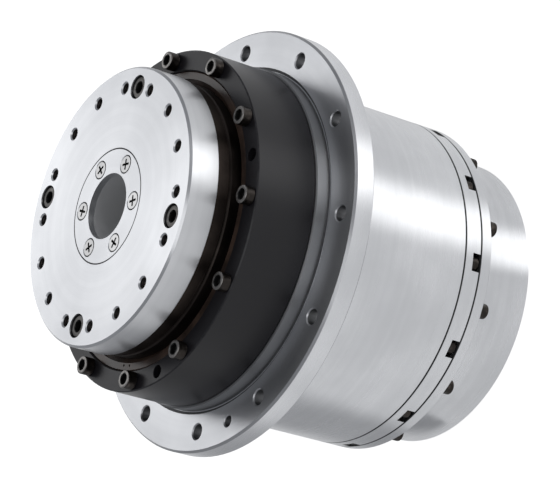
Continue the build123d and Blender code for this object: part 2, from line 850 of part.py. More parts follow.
groove_rise = ball_d * (0.5 - groove_share)
inner_land_r = ball_circle_r - groove_rise
outer_land_r = ball_circle_r + groove_rise
front_bearing_inner_ring = bearing_ring(shaft_r, inner_land_r, front_shoulder_z)
front_bearing_outer_ring = bearing_ring(rotor_bearing_r, outer_land_r, front_shoulder_z)
front_bearing_balls = ball_set(front_shoulder_z)
front_bearing_cage = ball_cage(front_shoulder_z)
rear_bearing_inner_ring = bearing_ring(shaft_r, inner_land_r, rear_bearing_z)
rear_bearing_outer_ring = bearing_ring(rotor_bearing_r, outer_land_r, rear_bearing_z)
rear_bearing_balls = ball_set(rear_bearing_z)
rear_bearing_cage = ball_cage(rear_bearing_z)

# Front bearing cover: holds the front rotor bearing and the oil seal
cover_screw_r = (rotor_bearing_r + bearing_cover_d / 2) / 2
oil_seal_r = shaft_r + oil_seal_section
seal_seat_z = bearing_seat_z + bearing_cover_t
with BuildPart() as front_bearing_cover:
    with BuildSketch(Plane.XZ):
        with BuildLine():
            Polyline(
                (inner_land_r + edge_c, bearing_seat_z),
                (bearing_cover_d / 2, bearing_seat_z),
                (bearing_cover_d / 2, seal_seat_z),
                (oil_seal_r + seal_boss_wall, seal_seat_z),
                (oil_seal_r + seal_boss_wall, seal_seat_z + oil_seal_t + edge_c),
                (oil_seal_r, seal_seat_z + oil_seal_t + edge_c),
                (oil_seal_r, seal_seat_z),
                (inner_land_r + edge_c, seal_seat_z),
                close=True,
            )
        make_face()
    revolve()
    with Locations(Plane.XY.offset(seal_seat_z)):
        with PolarLocations(cover_screw_r, bearing_cover_screws):
            CounterSinkHole(2 + pocket_c, 4 + pocket_c, depth=bearing_cover_t)

bearing_cover_screw = countersunk_screw(4, bearing_cover_t + thread_engagement)
with BuildPart(Plane.XY.offset(seal_seat_z)) as front_bearing_cover_screws:
    with PolarLocations(cover_screw_r, bearing_cover_screws):
        add(bearing_cover_screw)

with BuildPart() as oil_seal:
    with BuildSketch(Plane.XY.offset(seal_seat_z)):
        Circle(oil_seal_r)
        Circle(shaft_r + running_c, mode=Mode.SUBTRACT)
    extrude(amount=oil_seal_t)

# Motor: stator core with its slots, one coil round each tooth, rotor core and magnets
half_pitch = pi / slots
with BuildSketch() as slot:
    with BuildLine():
        Polyline(
            (stator_bore_r - edge_c, -slot_opening / 2),
            (coil_in_r, -slot_opening / 2),
            (coil_in_r, tooth_w / 2 - coil_in_r * tan(half_pitch)),
            (coil_out_r, tooth_w / 2 - coil_out_r * tan(half_pitch)),
            (coil_out_r, coil_out_r * tan(half_pitch) - tooth_w / 2),
            (coil_in_r, coil_in_r * tan(half_pitch) - tooth_w / 2),
            (coil_in_r, slot_opening / 2),
            (stator_bore_r - edge_c, slot_opening / 2),
            close=True,
        )
    make_face()

with BuildPart() as stator_core:
    with BuildSketch(Plane.XY.offset(stack_rear_z)):
        Circle(body_bore_r)
        Circle(stator_bore_r, mode=Mode.SUBTRACT)
        with PolarLocations(0, slots, start_angle=degrees(half_pitch)):
            add(slot.sketch, mode=Mode.SUBTRACT)
    extrude(amount=stack_l)

coil_mid_z = (stack_front_z + stack_rear_z) / 2
with BuildPart() as coil:
    with BuildSketch(Plane.YZ.offset(coil_in_r + coil_gap)):
        with Locations((0, coil_mid_z)):
            RectangleRounded(tooth_w + 2 * coil_side, stack_l + 2 * coil_head, coil_side)
            Rectangle(tooth_w + 2 * coil_gap, stack_l + 2 * coil_gap, mode=Mode.SUBTRACT)
    extrude(amount=coil_out_r - coil_in_r - 4 * coil_gap)

with BuildPart() as stator_coils:
    with PolarLocations(0, slots):
        add(coil.part)

with BuildPart() as rotor_core:
    with BuildSketch(Plane.XY.offset(stack_rear_z)):
        Circle(rotor_core_r)
        Circle(hub_seat_r, mode=Mode.SUBTRACT)
    extrude(amount=stack_l)

magnet_angle = 360 / poles * magnet_share
with BuildPart() as rotor_magnets:
    with BuildSketch(Plane.XY.offset(stack_rear_z)):
        Circle(magnet_r)
        Circle(rotor_core_r, mode=Mode.SUBTRACT)
        with PolarLocations(rotor_core_r + magnet_t / 2, poles):
            Rectangle(
                magnet_t * 2, 2 * pi * rotor_core_r / poles * (1 - magnet_share), mode=Mode.SUBTRACT
            )
    extrude(amount=stack_l)

# Bearing bracket: closes the barrel, carries the rear rotor bearing and the brake
hub_r = rotor_bearing_r + bracket_hub_wall
with BuildPart() as bearing_bracket:
    with BuildSketch(Plane.XZ):
        with BuildLine():
            Polyline(
                (rotor_bearing_r - shaft_hole_wall, bracket_rear_z),
                (body_bore_r - spigot_wall - pocket_c, bracket_rear_z),
                (body_bore_r - spigot_wall - pocket_c, bracket_rear_z + cover_spigot + edge_c),
                (body_bore_r, bracket_rear_z + cover_spigot + edge_c),
                (body_bore_r, bracket_rear_z),
                (body_d / 2 - edge_c, bracket_rear_z),
                (body_d / 2, bracket_rear_z + edge_c),
                (body_d / 2, body_rear_z - edge_c),
                (body_d / 2 - edge_c, body_rear_z),
                (body_bore_r - running_c, body_rear_z),
                (body_bore_r - running_c, body_rear_z + bracket_spigot),
                (body_bore_r - spigot_wall, body_rear_z + bracket_spigot),
                (body_bore_r - spigot_wall, bracket_rear_z + bracket_web_t),
                (hub_r, bracket_rear_z + bracket_web_t),
                (hub_r, rear_shoulder_z),
                (rotor_bearing_r, rear_shoulder_z),
                (rotor_bearing_r, washer_rear_z),
                (rotor_bearing_r - shaft_hole_wall, washer_rear_z),
                close=True,
            )
        make_face()
    revolve()
    # Pockets for the screw heads, open to the outside, and their holes
    with BuildSketch(Plane.XY.offset(bracket_rear_z)):
        with PolarLocations(rim_r, rim_screws):
            Circle(pocket_w / 2)
            with Locations((pocket_w, 0)):
                Rectangle(pocket_w * 2, pocket_w)
    extrude(amount=pocket_depth, mode=Mode.SUBTRACT)
    with BuildSketch(Plane.XY.offset(body_rear_z)):
        with PolarLocations(rim_r, rim_screws):
            Circle(2 + pocket_c)
    extrude(amount=-bracket_t, mode=Mode.SUBTRACT)
    with BuildSketch(Plane.XY.offset(bracket_rear_z)):
        with PolarLocations(rim_r, rim_screws, start_angle=180 / rim_screws):
            Circle(2 + thread_c)
        with PolarLocations(brake_screw_pcd / 2, brake_screw_n):
            Circle(2 + thread_c)
    extrude(amount=thread_engagement * 0.75, mode=Mode.SUBTRACT)
    # Three holes that let the motor leads through
    with BuildSketch(Plane.XY.offset(bracket_rear_z)):
        with PolarLocations(brake_screw_pcd / 2, 3, start_angle=60):
            Circle(lead_hole_d / 2)
    extrude(amount=bracket_web_t, mode=Mode.SUBTRACT)

rear_facing = Plane((0, 0, bracket_rear_z + pocket_depth), x_dir=(1, 0, 0), z_dir=(0, 0, -1))
bracket_screw = cap_screw(4, bracket_t - pocket_depth + thread_engagement)
with BuildPart(rear_facing) as bracket_screws:
    with PolarLocations(rim_r, rim_screws):
        add(bracket_screw)

with BuildPart() as preload_washer:
    with BuildSketch(Plane.XY.offset(washer_rear_z)):
        Circle(rotor_bearing_r - pocket_c)
        Circle(outer_land_r, mode=Mode.SUBTRACT)
    extrude(amount=washer_t)

# Holding brake: coil body, springs, armature, friction disc on its hub and end plate
with BuildPart() as brake_magnet:
    with BuildSketch(Plane.XY.offset(magnet_face_z)):
        Circle(brake_d / 2)
        Circle(brake_bore_d / 2, mode=Mode.SUBTRACT)
        with PolarLocations(brake_screw_pcd / 2, brake_screw_n):
            Circle(2 + pocket_c, mode=Mode.SUBTRACT)
    extrude(amount=magnet_l)
    with BuildSketch(Plane.XY.offset(magnet_face_z)):
        Circle(coil_out_d / 2)
        Circle(coil_in_d / 2, mode=Mode.SUBTRACT)
    extrude(amount=coil_depth, mode=Mode.SUBTRACT)
    with BuildSketch(Plane.XY.offset(magnet_face_z)):
        with PolarLocations(spring_pcd / 2, spring_n):
            Circle(spring_d / 2 + pocket_c * 2)
    extrude(amount=spring_depth, mode=Mode.SUBTRACT)

with BuildPart() as brake_coil:
    with BuildSketch(Plane.XY.offset(magnet_face_z + edge_c)):
        Circle(coil_out_d / 2 - pocket_c)
        Circle(coil_in_d / 2 + pocket_c, mode=Mode.SUBTRACT)
    extrude(amount=coil_depth - edge_c)

with BuildPart(Plane.XY.offset(armature_z)) as brake_springs:
    with PolarLocations(spring_pcd / 2, spring_n):
        Cylinder(spring_d / 2, spring_depth + armature_gap, align=(Align.CENTER, Align.CENTER, Align.MIN))
        Cylinder(
            spring_d / 2 - spring_wire,
            spring_depth + armature_gap,
            align=(Align.CENTER, Align.CENTER, Align.MIN),
            mode=Mode.SUBTRACT,
        )

with BuildPart() as brake_armature:
    with BuildSketch(Plane.XY.offset(friction_front_z)):
        Circle(brake_d / 2 - edge_c)
        Circle(brake_bore_d / 2 + edge_c, mode=Mode.SUBTRACT)
        with PolarLocations(brake_screw_pcd / 2, brake_screw_n):
            Circle(spacer_d / 2 + running_c, mode=Mode.SUBTRACT)
    extrude(amount=armature_t)

brake_hub_r = rear_journal_r + brake_hub_wall
with BuildPart() as brake_hub:
    with BuildSketch(Plane.XY.offset(friction_rear_z - edge_c)):
        RegularPolygon(brake_hub_r, 6, major_radius=False)
        Circle(rear_journal_r, mode=Mode.SUBTRACT)
    extrude(amount=brake_hub_l)

with BuildPart() as brake_disc:
    with BuildSketch(Plane.XY.offset(friction_rear_z)):
        Circle(friction_d / 2)
        RegularPolygon(brake_hub_r + running_c, 6, major_radius=False, mode=Mode.SUBTRACT)
    extrude(amount=friction_t)

with BuildPart() as brake_end_plate:
    with BuildSketch(Plane.XY.offset(brake_plate_z)):
        Circle(brake_d / 2)
        Circle(brake_bore_d / 2, mode=Mode.SUBTRACT)
        with PolarLocations(brake_screw_pcd / 2, brake_screw_n):
            Circle(2 + pocket_c, mode=Mode.SUBTRACT)
        with PolarLocations(brake_screw_pcd / 2, 3, start_angle=60):
            Circle(1.5 + thread_c, mode=Mode.SUBTRACT)
    extrude(amount=brake_plate_t)

with BuildPart() as brake_spacers:
    with BuildSketch(Plane.XY.offset(friction_rear_z)):
        with PolarLocations(brake_screw_pcd / 2, brake_screw_n):
            Circle(spacer_d / 2)
            Circle(2 + pocket_c, mode=Mode.SUBTRACT)
    extrude(amount=magnet_face_z - friction_rear_z)

brake_stack = bracket_rear_z - brake_plate_z
brake_screw = cap_screw(4, brake_stack + thread_engagement / 2)
brake_facing = Plane((0, 0, brake_plate_z), x_dir=(1, 0, 0), z_dir=(0, 0, -1))
with BuildPart(brake_facing) as brake_screws:
    with PolarLocations(brake_screw_pcd / 2, brake_screw_n):
        add(brake_screw)

# Encoder: hub and glass disc on the shaft, board and reader head on standoffs
encoder_hub_r = rear_journal_r + encoder_hub_wall
with BuildPart() as encoder_hub:
    with BuildSketch(Plane.XZ):
        with BuildLine():
            Polyline(
                (shaft_bore_r + edge_c, encoder_hub_z),
                (encoder_hub_r + disc_seat, encoder_hub_z),
                (encoder_hub_r + disc_seat, disc_rear_z),
                (encoder_hub_r, disc_rear_z),
                (encoder_hub_r, shaft_rear_z + encoder_skirt),
                (rear_journal_r, shaft_rear_z + encoder_skirt),
                (rear_journal_r, shaft_rear_z),
                (shaft_bore_r + edge_c, shaft_rear_z),
                close=True,
            )
        make_face()
    revolve()

with BuildPart() as encoder_disc:
    with BuildSketch(Plane.XY.offset(disc_rear_z)):
        Circle(disc_d / 2)
        Circle(encoder_hub_r, mode=Mode.SUBTRACT)
    extrude(amount=disc_t)

with BuildPart() as encoder_board:
    with BuildSketch(Plane.XY.offset(board_rear_z)):
        Circle(board_d / 2)
        Circle(board_bore_d / 2, mode=Mode.SUBTRACT)
        with PolarLocations(brake_screw_pcd / 2, 3, start_angle=60):
            Circle(1.5 + pocket_c, mode=Mode.SUBTRACT)
        with PolarLocations(brake_screw_pcd / 2, brake_screw_n):
            Circle(head_d[4] / 2 + edge_c, mode=Mode.SUBTRACT)
    extrude(amount=board_t)

with BuildPart() as encoder_reader:
    with BuildSketch(Plane.XY.offset(board_front_z)):
        with Locations((0, disc_d / 2 - reader_l / 2 + edge_c)):
            Rectangle(reader_w, reader_l)
    extrude(amount=reader_h)

with BuildPart() as encoder_standoffs:
    with BuildSketch(Plane.XY.offset(board_front_z)):
        with PolarLocations(brake_screw_pcd / 2, 3, start_angle=60):
            RegularPolygon(key_af[6] / 2, 6, major_radius=False)
    extrude(amount=brake_plate_z - board_front_z)
    with BuildSketch(Plane.XY.offset(board_rear_z - edge_c)):
        with PolarLocations(brake_screw_pcd / 2, 3, start_angle=60):
            Circle(1.5)
    extrude(amount=brake_plate_z + brake_plate_t - board_rear_z + edge_c)

# Rear cover: flanged can with the rear seal and two bosses for the cable glands
rear_seal_r = sleeve_r + rear_seal_section
can_r = cover_can_d / 2
can_bore_r = can_r - cover_wall


def radial_plane(angle, distance):
    """A plane that faces outward from the axis at the height of the glands."""
    out = Vector(cos(radians(angle)), sin(radians(angle)), 0)
    return Plane(Vector(0, 0, gland_z) + out * distance, x_dir=(0, 0, 1), z_dir=out)


with BuildPart() as rear_cover:
    for angle in gland_angles:
        with BuildSketch(radial_plane(angle, gland_face_r)):
            Circle(gland_boss_d / 2)
        extrude(amount=-gland_boss_h - cover_wall * 2)
    with BuildSketch(Plane.XZ):
        with BuildLine():
            Polyline(
                (0, cover_end_z),
                (can_r - rim_c, cover_end_z),
                (can_r, cover_end_z + rim_c),
                (can_r, cover_flange_z - edge_c),
                (can_r + edge_c, cover_flange_z),
                (body_d / 2 - edge_c, cover_flange_z),
                (body_d / 2, cover_flange_z + edge_c),
                (body_d / 2, bracket_rear_z - edge_c),
                (body_d / 2 - edge_c, bracket_rear_z),
                (body_bore_r - running_c, bracket_rear_z),
                (body_bore_r - running_c, bracket_rear_z + cover_spigot),
                (0, bracket_rear_z + cover_spigot),
                close=True,
            )
        make_face()
    revolve()
    with BuildSketch(Plane.XZ):
        with BuildLine():
            Polyline(
                (0, bracket_rear_z + cover_spigot),
                (body_bore_r - spigot_wall, bracket_rear_z + cover_spigot),
                (body_bore_r - spigot_wall, cover_flange_z + edge_c),
                (can_bore_r, cover_flange_z - edge_c),
                (can_bore_r, cover_floor_z),
                (rear_seal_r + cover_wall, cover_floor_z),
                (rear_seal_r + cover_wall, seal_boss_z),
                (rear_seal_r, seal_boss_z),
                (rear_seal_r, cover_end_z + end_lip),
                (sleeve_r + sleeve_gap, cover_end_z + end_lip),
                (sleeve_r + sleeve_gap, cover_end_z - end_lip),
                (0, cover_end_z - end_lip),
                close=True,
            )
        make_face()
    revolve(mode=Mode.SUBTRACT)
    for angle in gland_angles:
        with BuildSketch(radial_plane(angle, gland_face_r)):
            Circle(gland_thread_d / 2 + thread_c)
        extrude(amount=-gland_boss_h - cover_wall * 2, mode=Mode.SUBTRACT)
    with BuildSketch(Plane.XY.offset(cover_flange_z)):
        with PolarLocations(rim_r, rim_screws, start_angle=180 / rim_screws):
            Circle(2 + pocket_c)
    extrude(amount=cover_flange_t, mode=Mode.SUBTRACT)

cover_facing = Plane((0, 0, cover_flange_z), x_dir=(1, 0, 0), z_dir=(0, 0, -1))
cover_screw = cap_screw(4, cover_flange_t + thread_engagement * 0.7)
with BuildPart(cover_facing) as rear_cover_screws:
    with PolarLocations(rim_r, rim_screws, start_angle=180 / rim_screws):
        add(cover_screw)

with BuildPart() as rear_seal:
    with BuildSketch(Plane.XY.offset(cover_end_z + end_lip)):
        Circle(rear_seal_r)
        Circle(sleeve_r + running_c, mode=Mode.SUBTRACT)
    extrude(amount=seal_boss_z - cover_end_z - end_lip)

gland_places = [radial_plane(angle, gland_face_r) for angle in gland_angles]
with BuildPart() as gland_body:
    with BuildSketch(Plane.XY.offset(-gland_boss_h - cover_wall)):
        Circle(gland_thread_d / 2)
    extrude(amount=gland_boss_h + cover_wall)
    with BuildSketch():
        RegularPolygon(gland_hex / 2, 6, major_radius=False)
    extrude(amount=gland_hex_t)
    with BuildSketch(Plane.XY.offset(gland_hex_t)):
        Circle(gland_neck_d / 2)
    extrude(amount=gland_neck_l)
    with BuildSketch(Plane.XY.offset(-gland_boss_h - cover_wall)):
        Circle(gland_bore_d / 2)
    extrude(amount=gland_boss_h + cover_wall + gland_hex_t + gland_neck_l, mode=Mode.SUBTRACT)

with BuildPart() as gland_nut:
    with BuildSketch(Plane.XY.offset(gland_hex_t + edge_c)):
        Circle(gland_nut_d / 2)
    extrude(amount=gland_nut_l)
    chamfer(gland_nut.edges().sort_by(Axis.Z)[-1], rim_c * 2)
    with BuildSketch(Plane.XY.offset(gland_hex_t + edge_c)):
        Circle(gland_neck_d / 2 + thread_c)
    extrude(amount=gland_neck_l, mode=Mode.SUBTRACT)
    with BuildSketch(Plane.XY.offset(gland_hex_t + edge_c)):
        Circle(gland_bore_d / 2 + edge_c)
    extrude(amount=gland_nut_l, mode=Mode.SUBTRACT)

with BuildPart() as cable_glands:
    with Locations(*gland_places):
        add(gland_body.part)

with BuildPart() as cable_gland_nuts:
    with Locations(*gland_places):
        add(gland_nut.part)

pieces = {
    "motor_housing": motor_housing,
    "bearing_housing": bearing_housing,
    "bearing_housing_screws": bearing_housing_screws,
    "front_seal": front_seal,
    "bearing_outer_ring_front": bearing_outer_ring_front,
    "bearing_outer_ring_rear": bearing_outer_ring_rear,
    "bearing_inner_ring": bearing_inner_ring,
    "bearing_rollers": bearing_rollers,
    "roller_separators": roller_separators,
    "output_flange": output_flange,
    "output_screws": output_screws,
    "retaining_plate": retaining_plate,
    "retaining_plate_screws": retaining_plate_screws,
    "center_sleeve": center_sleeve,
    "circular_spline": circular_spline,
    "flexspline": flexspline,
    "wave_plug": wave_plug,
    "wave_plug_screws": wave_plug_screws,
    "wave_outer_race": wave_outer_race,
    "wave_inner_race": wave_inner_race,
    "wave_balls": wave_balls,
    "nose_seal": nose_seal,
    "rotor_shaft": rotor_shaft,
    "front_bearing_inner_ring": front_bearing_inner_ring,
    "front_bearing_outer_ring": front_bearing_outer_ring,
    "front_bearing_balls": front_bearing_balls,
    "front_bearing_cage": front_bearing_cage,
    "rear_bearing_inner_ring": rear_bearing_inner_ring,
    "rear_bearing_outer_ring": rear_bearing_outer_ring,
    "rear_bearing_balls": rear_bearing_balls,
    "rear_bearing_cage": rear_bearing_cage,
    "front_bearing_cover": front_bearing_cover,
    "front_bearing_cover_screws": front_bearing_cover_screws,
    "oil_seal": oil_seal,
    "stator_core": stator_core,
    "stator_coils": stator_coils,
    "rotor_core": rotor_core,
    "rotor_magnets": rotor_magnets,
    "bearing_bracket": bearing_bracket,
    "bracket_screws": bracket_screws,
    "preload_washer": preload_washer,
    "brake_magnet": brake_magnet,
    "brake_coil": brake_coil,
    "brake_springs": brake_springs,
    "brake_armature": brake_armature,
    "brake_hub": brake_hub,
    "brake_disc": brake_disc,
    "brake_end_plate": brake_end_plate,
    "brake_spacers": brake_spacers,
    "brake_screws": brake_screws,
    "encoder_hub": encoder_hub,
    "encoder_disc": encoder_disc,
    "encoder_board": encoder_board,
    "encoder_reader": encoder_reader,
    "encoder_standoffs": encoder_standoffs,
    "rear_cover": rear_cover,
    "rear_cover_screws": rear_cover_screws,
    "rear_seal": rear_seal,
    "cable_glands": cable_glands,
    "cable_gland_nuts": cable_gland_nuts,
}
for name, piece in pieces.items():
    piece.part.label = name
    export_step(piece.part, f"parts/{name}.step")
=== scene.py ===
import json
import math

import bmesh
import bpy
from mathutils import Matrix, Vector


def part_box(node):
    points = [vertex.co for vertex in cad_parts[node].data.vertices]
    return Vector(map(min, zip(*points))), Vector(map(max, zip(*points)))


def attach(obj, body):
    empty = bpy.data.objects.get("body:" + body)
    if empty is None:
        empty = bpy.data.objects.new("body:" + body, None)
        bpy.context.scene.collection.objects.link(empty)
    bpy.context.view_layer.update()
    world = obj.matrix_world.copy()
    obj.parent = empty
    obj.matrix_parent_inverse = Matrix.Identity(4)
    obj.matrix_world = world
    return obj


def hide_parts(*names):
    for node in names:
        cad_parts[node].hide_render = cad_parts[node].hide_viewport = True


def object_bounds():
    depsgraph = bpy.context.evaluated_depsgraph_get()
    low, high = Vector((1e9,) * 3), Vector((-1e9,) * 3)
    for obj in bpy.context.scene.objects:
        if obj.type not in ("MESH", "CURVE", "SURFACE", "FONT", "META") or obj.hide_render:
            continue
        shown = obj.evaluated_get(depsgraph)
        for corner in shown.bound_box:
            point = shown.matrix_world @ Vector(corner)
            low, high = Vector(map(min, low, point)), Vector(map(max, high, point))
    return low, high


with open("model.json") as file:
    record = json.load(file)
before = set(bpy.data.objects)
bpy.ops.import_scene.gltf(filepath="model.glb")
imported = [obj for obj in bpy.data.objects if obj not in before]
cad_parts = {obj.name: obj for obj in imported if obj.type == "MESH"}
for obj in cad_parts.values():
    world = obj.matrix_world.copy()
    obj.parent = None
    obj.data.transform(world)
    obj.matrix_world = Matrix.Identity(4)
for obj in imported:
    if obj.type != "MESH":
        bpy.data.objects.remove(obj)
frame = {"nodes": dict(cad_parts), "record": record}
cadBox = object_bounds()
nodes = frame["nodes"]
mounts = {mount["name"]: mount for mount in frame["record"]["mounts"]}
slotOf = {part["node"]: part["material_slot"] for part in frame["record"]["subparts"]}
print("frame loaded:", len(nodes), "nodes")

scene = bpy.context.scene
scene.view_settings.view_transform = "Standard"


def metres(mount, dimension):
    return mounts[mount]["dims"][dimension] / 1000


# shader helpers

finishes = {}
chamferLean = {"low": 0.55, "high": 0.84, "soft": 0.08}  # the upright part of a chamfer's normal
zoneSoft = {"radius": 0.0001, "height": 0.0002}
acrossLines = 0.25  # a quarter turn, so that highlights stretch across the lathe's lines
patchy = (0.3, 0.7)  # where a cloud of noise goes from dark to light
noiseRoughness = 0.55


class Wire:
    # an output socket that can be used in sums like a number
    def __init__(self, finish, socket):
        self.finish = finish
        self.socket = socket

    def maths(self, operation, *others):
        inputs = dict(enumerate((self, *others)))
        return self.finish.node("ShaderNodeMath", {"operation": operation}, inputs)

    def __add__(self, other):
        return self.maths("ADD", other)

    def __sub__(self, other):
        return self.maths("SUBTRACT", other)

    def __rsub__(self, other):
        return self.finish.node("ShaderNodeMath", {"operation": "SUBTRACT"}, {0: other, 1: self})

    def __mul__(self, other):
        return self.maths("MULTIPLY", other)

    def __pow__(self, other):
        return self.maths("POWER", other)

    def __abs__(self):
        return self.maths("ABSOLUTE")

    def least(self, other):
        return self.maths("MINIMUM", other)

    def ramp(self, low, high):
        # 0 below low, 1 above high, smooth between
        settings = {"interpolation_type": "SMOOTHSTEP"}
        ends = {"Value": self, "From Min": low, "From Max": high}
        return self.finish.node("ShaderNodeMapRange", settings, ends)

    def band(self, low, high, soft):
        # 1 between low and high, 0 outside
        return self.ramp(low - soft, low + soft) * (1 - self.ramp(high - soft, high + soft))


def blend(first, second, share):
    # the share of the first and the rest of the second
    return first * share + second * (1 - share)


class Finish:
    # a material with its node tree, kept in finishes under its name
    def __init__(self, name):
        self.material = bpy.data.materials.new(name)
        self.material.use_nodes = True
        self.tree = self.material.node_tree
        self.shader = self.tree.nodes["Principled BSDF"]
        finishes[name] = self.material

    def node(self, kind, settings=None, inputs=None, output=0):
        made = self.tree.nodes.new(kind)
        for key, value in (settings or {}).items():
            setattr(made, key, value)
        for key, value in (inputs or {}).items():
            if isinstance(value, Wire):
                self.tree.links.new(value.socket, made.inputs[key])
            else:
                made.inputs[key].default_value = value
        return Wire(self, made.outputs[output])

    def feed(self, socket, wire):
        self.tree.links.new(wire.socket, self.shader.inputs[socket])

    def constants(self, **values):
        for key, value in values.items():
            self.shader.inputs[key.replace("_", " ")].default_value = value

    def place(self):
        return self.node("ShaderNodeTexCoord", output="Object")

    def split(self, vector):
        apart = self.node("ShaderNodeSeparateXYZ", {}, {0: vector}).socket.node
        return [Wire(self, output) for output in apart.outputs]

    def axes(self):
        return self.split(self.place())

    def polar(self):
        # distance from the axis of rotation, and height
        x, y, z = self.axes()
        return (x * x + y * y) ** 0.5, z

    def noise(self, vector, scale, detail=3.0):
        inputs = {"Vector": vector, "Scale": scale, "Detail": detail, "Roughness": noiseRoughness}
        return self.node("ShaderNodeTexNoise", {}, inputs)

    def cloud(self, scale, detail=3.0):
        return self.noise(self.place(), scale, detail)

    def turnedLines(self, scale):
        # rings left by a lathe: the pattern depends on radius and height only
        radius, z = self.polar()
        vector = self.node("ShaderNodeCombineXYZ", {}, {0: radius, 1: z, 2: 0.0})
        return self.noise(vector, scale, detail=2.0)

    def mixed(self, factor, first, second):
        # sockets 0, 6 and 7 take the factor and the two colours, and output 2 gives the mix
        return self.node("ShaderNodeMix", {"data_type": "RGBA"}, {0: factor, 6: first, 7: second}, output=2)

    def toned(self, tone, values):
        # dark where the tone is 0, light where it is 1
        return self.mixed(tone, (*values["dark"], 1), (*values["light"], 1))

    def uneven(self, pattern, values):
        # roughness that varies a little with a pattern
        self.feed("Roughness", (pattern - 0.5) * values["spread"] + values["roughness"])

    def bump(self, height, values):
        inputs = {"Height": height, "Strength": values["bump"], "Distance": values["bumpDepth"]}
        self.feed("Normal", self.node("ShaderNodeBump", {}, inputs))

    def chamferMask(self):
        # 1 where the surface leans like an edge break round the axis
        facing = self.node("ShaderNodeNewGeometry", output="Normal")
        return abs(self.split(facing)[2]).band(**chamferLean)

    def zones(self, places):
        # the sum of the amounts given for rings round the axis
        radius, z = self.polar()
        total = 0.0
        for inner, outer, low, high, amount in places:
            ring = radius.band(inner, outer, zoneSoft["radius"]) * z.band(low, high, zoneSoft["height"])
            total = ring * amount + total
        return total


# painted shade and rougher rings on the silver metal

def ringZone(inner, outer, height, values):
    # from inside one radius to outside another, and from below to above a height
    low, high = height - values["below"], height + values["above"]
    return inner - values["inside"], outer + values["outside"], low, high, values["amount"]


def holeZone(mount, height, values):
    # the walls of a circle of holes
    middle = metres(mount, "pcd_mm") / 2
    reach = metres(mount, "hole_r_mm")
    return ringZone(middle - reach, middle + reach, height, values)


# every amount but flangeFace's draws the colour towards black as painted shade: in the hole walls, the seams
# between parts, round the plate, on the pilot's side and in its groove; flangeFace's only adds roughness
zoneValues = {
    "flangeHoles": {"inside": 0.0003, "outside": 0.0003, "below": 0.0099, "above": -0.0006, "amount": 0.62},
    "tappedHoles": {"inside": 0.0032, "outside": 0.0032, "below": 0.0145, "above": -0.0006, "amount": 0.9},
    "seam": {"inside": 0.0016, "outside": 0.0004, "below": 0.0004, "above": 0.0004, "amount": 0.85},
    "plateSeam": {"inside": 0.0001, "outside": 0.0005, "below": 0.004, "above": 0.0005, "amount": 0.9},
    "pilotSide": {"inside": 0.0012, "outside": 0.0004, "below": -0.0003, "above": 0.0072, "amount": 0.5},
    "pilotGroove": {"inside": -0.0002, "outside": 0.0015, "below": 0.0012, "above": -0.0001, "amount": 0.85},
    "flangeFace": {"inside": 0.0012, "outside": 0.0005, "below": 0.0012, "above": 0.0005, "amount": 0.03},
}
flangeHeight = mounts["mounting_bolts"]["pos_m"][2]
outputHeight = mounts["output_face"]["pos_m"][2]
pilotRadius = metres("pilot", "r_mm")
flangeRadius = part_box("motor_housing")[1].x
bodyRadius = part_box("bearing_bracket")[1].x
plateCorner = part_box("retaining_plate")[1]
seamHeights = [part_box(name)[0].z for name in ("motor_housing", "bearing_bracket")]
flangeHoles = holeZone("mounting_bolts", flangeHeight, zoneValues["flangeHoles"])
tappedHoles = holeZone("output_bolts", outputHeight, zoneValues["tappedHoles"])
seams = [ringZone(bodyRadius, bodyRadius, height, zoneValues["seam"]) for height in seamHeights]
plateSeam = ringZone(plateCorner.x, plateCorner.x, plateCorner.z, zoneValues["plateSeam"])
pilotSide = ringZone(pilotRadius, pilotRadius, flangeHeight, zoneValues["pilotSide"])
pilotGroove = ringZone(pilotRadius, pilotRadius, flangeHeight, zoneValues["pilotGroove"])
flangeFace = ringZone(pilotRadius, flangeRadius, flangeHeight, zoneValues["flangeFace"])


# finishes, each made under the name of its material slot

def turnedMetal(name, values):
    finish = Finish(name)
    fine = finish.turnedLines(values["fineLines"])
    coarse = finish.turnedLines(values["coarseLines"])
    cloud = finish.cloud(values["cloud"])
    tone = blend(coarse, cloud, values["coarseTone"]).ramp(*patchy)
    # chamfers and the listed rings are drawn towards black as painted shade, and made a little rougher
    edges = finish.chamferMask() * values["edgeShade"]
    shade = (edges + finish.zones(values["shaded"])).least(values["deepest"])
    finish.feed("Base Color", finish.mixed(shade, finish.toned(tone, values), (0, 0, 0, 1)))
    grain = (blend(fine, cloud, values["fineGloss"]) - 0.5) * values["spread"]
    dull = shade * values["dullness"] + finish.zones(values["rougher"])
    finish.feed("Roughness", dull + grain + values["roughness"])
    finish.bump(blend(fine, coarse, values["fineBump"]), values)
    finish.constants(Metallic=1.0, Anisotropic=values["brushed"], Anisotropic_Rotation=acrossLines)


turnedBase = {"cloud": 22.0, "coarseTone": 0.25, "fineGloss": 0.6, "fineBump": 0.8, "bumpDepth": 0.00002,
              "deepest": 0.95, "dullness": 0.25, "shaded": [], "rougher": []}
coolSilver = {**turnedBase, "dark": (0.66, 0.67, 0.69), "light": (0.80, 0.81, 0.83)}
turnedMetal("machined_aluminium", {
    **coolSilver, "roughness": 0.27, "spread": 0.05, "bump": 0.06, "brushed": 0.6, "fineLines": 1700.0,
    "coarseLines": 210.0, "edgeShade": 0.22, "shaded": [flangeHoles, pilotSide, pilotGroove, *seams],
    "rougher": [flangeFace]})
turnedMetal("output_steel", {
    **coolSilver, "roughness": 0.30, "spread": 0.04, "bump": 0.06, "brushed": 0.78, "fineLines": 1900.0,
    "coarseLines": 260.0, "edgeShade": 0.0, "shaded": [tappedHoles, plateSeam]})
turnedMetal("shaft_steel", {
    **turnedBase, "dark": (0.42, 0.43, 0.45), "light": (0.58, 0.59, 0.61), "roughness": 0.27, "spread": 0.1,
    "bump": 0.1, "brushed": 0.5, "fineLines": 2200.0, "coarseLines": 300.0, "edgeShade": 0.2})
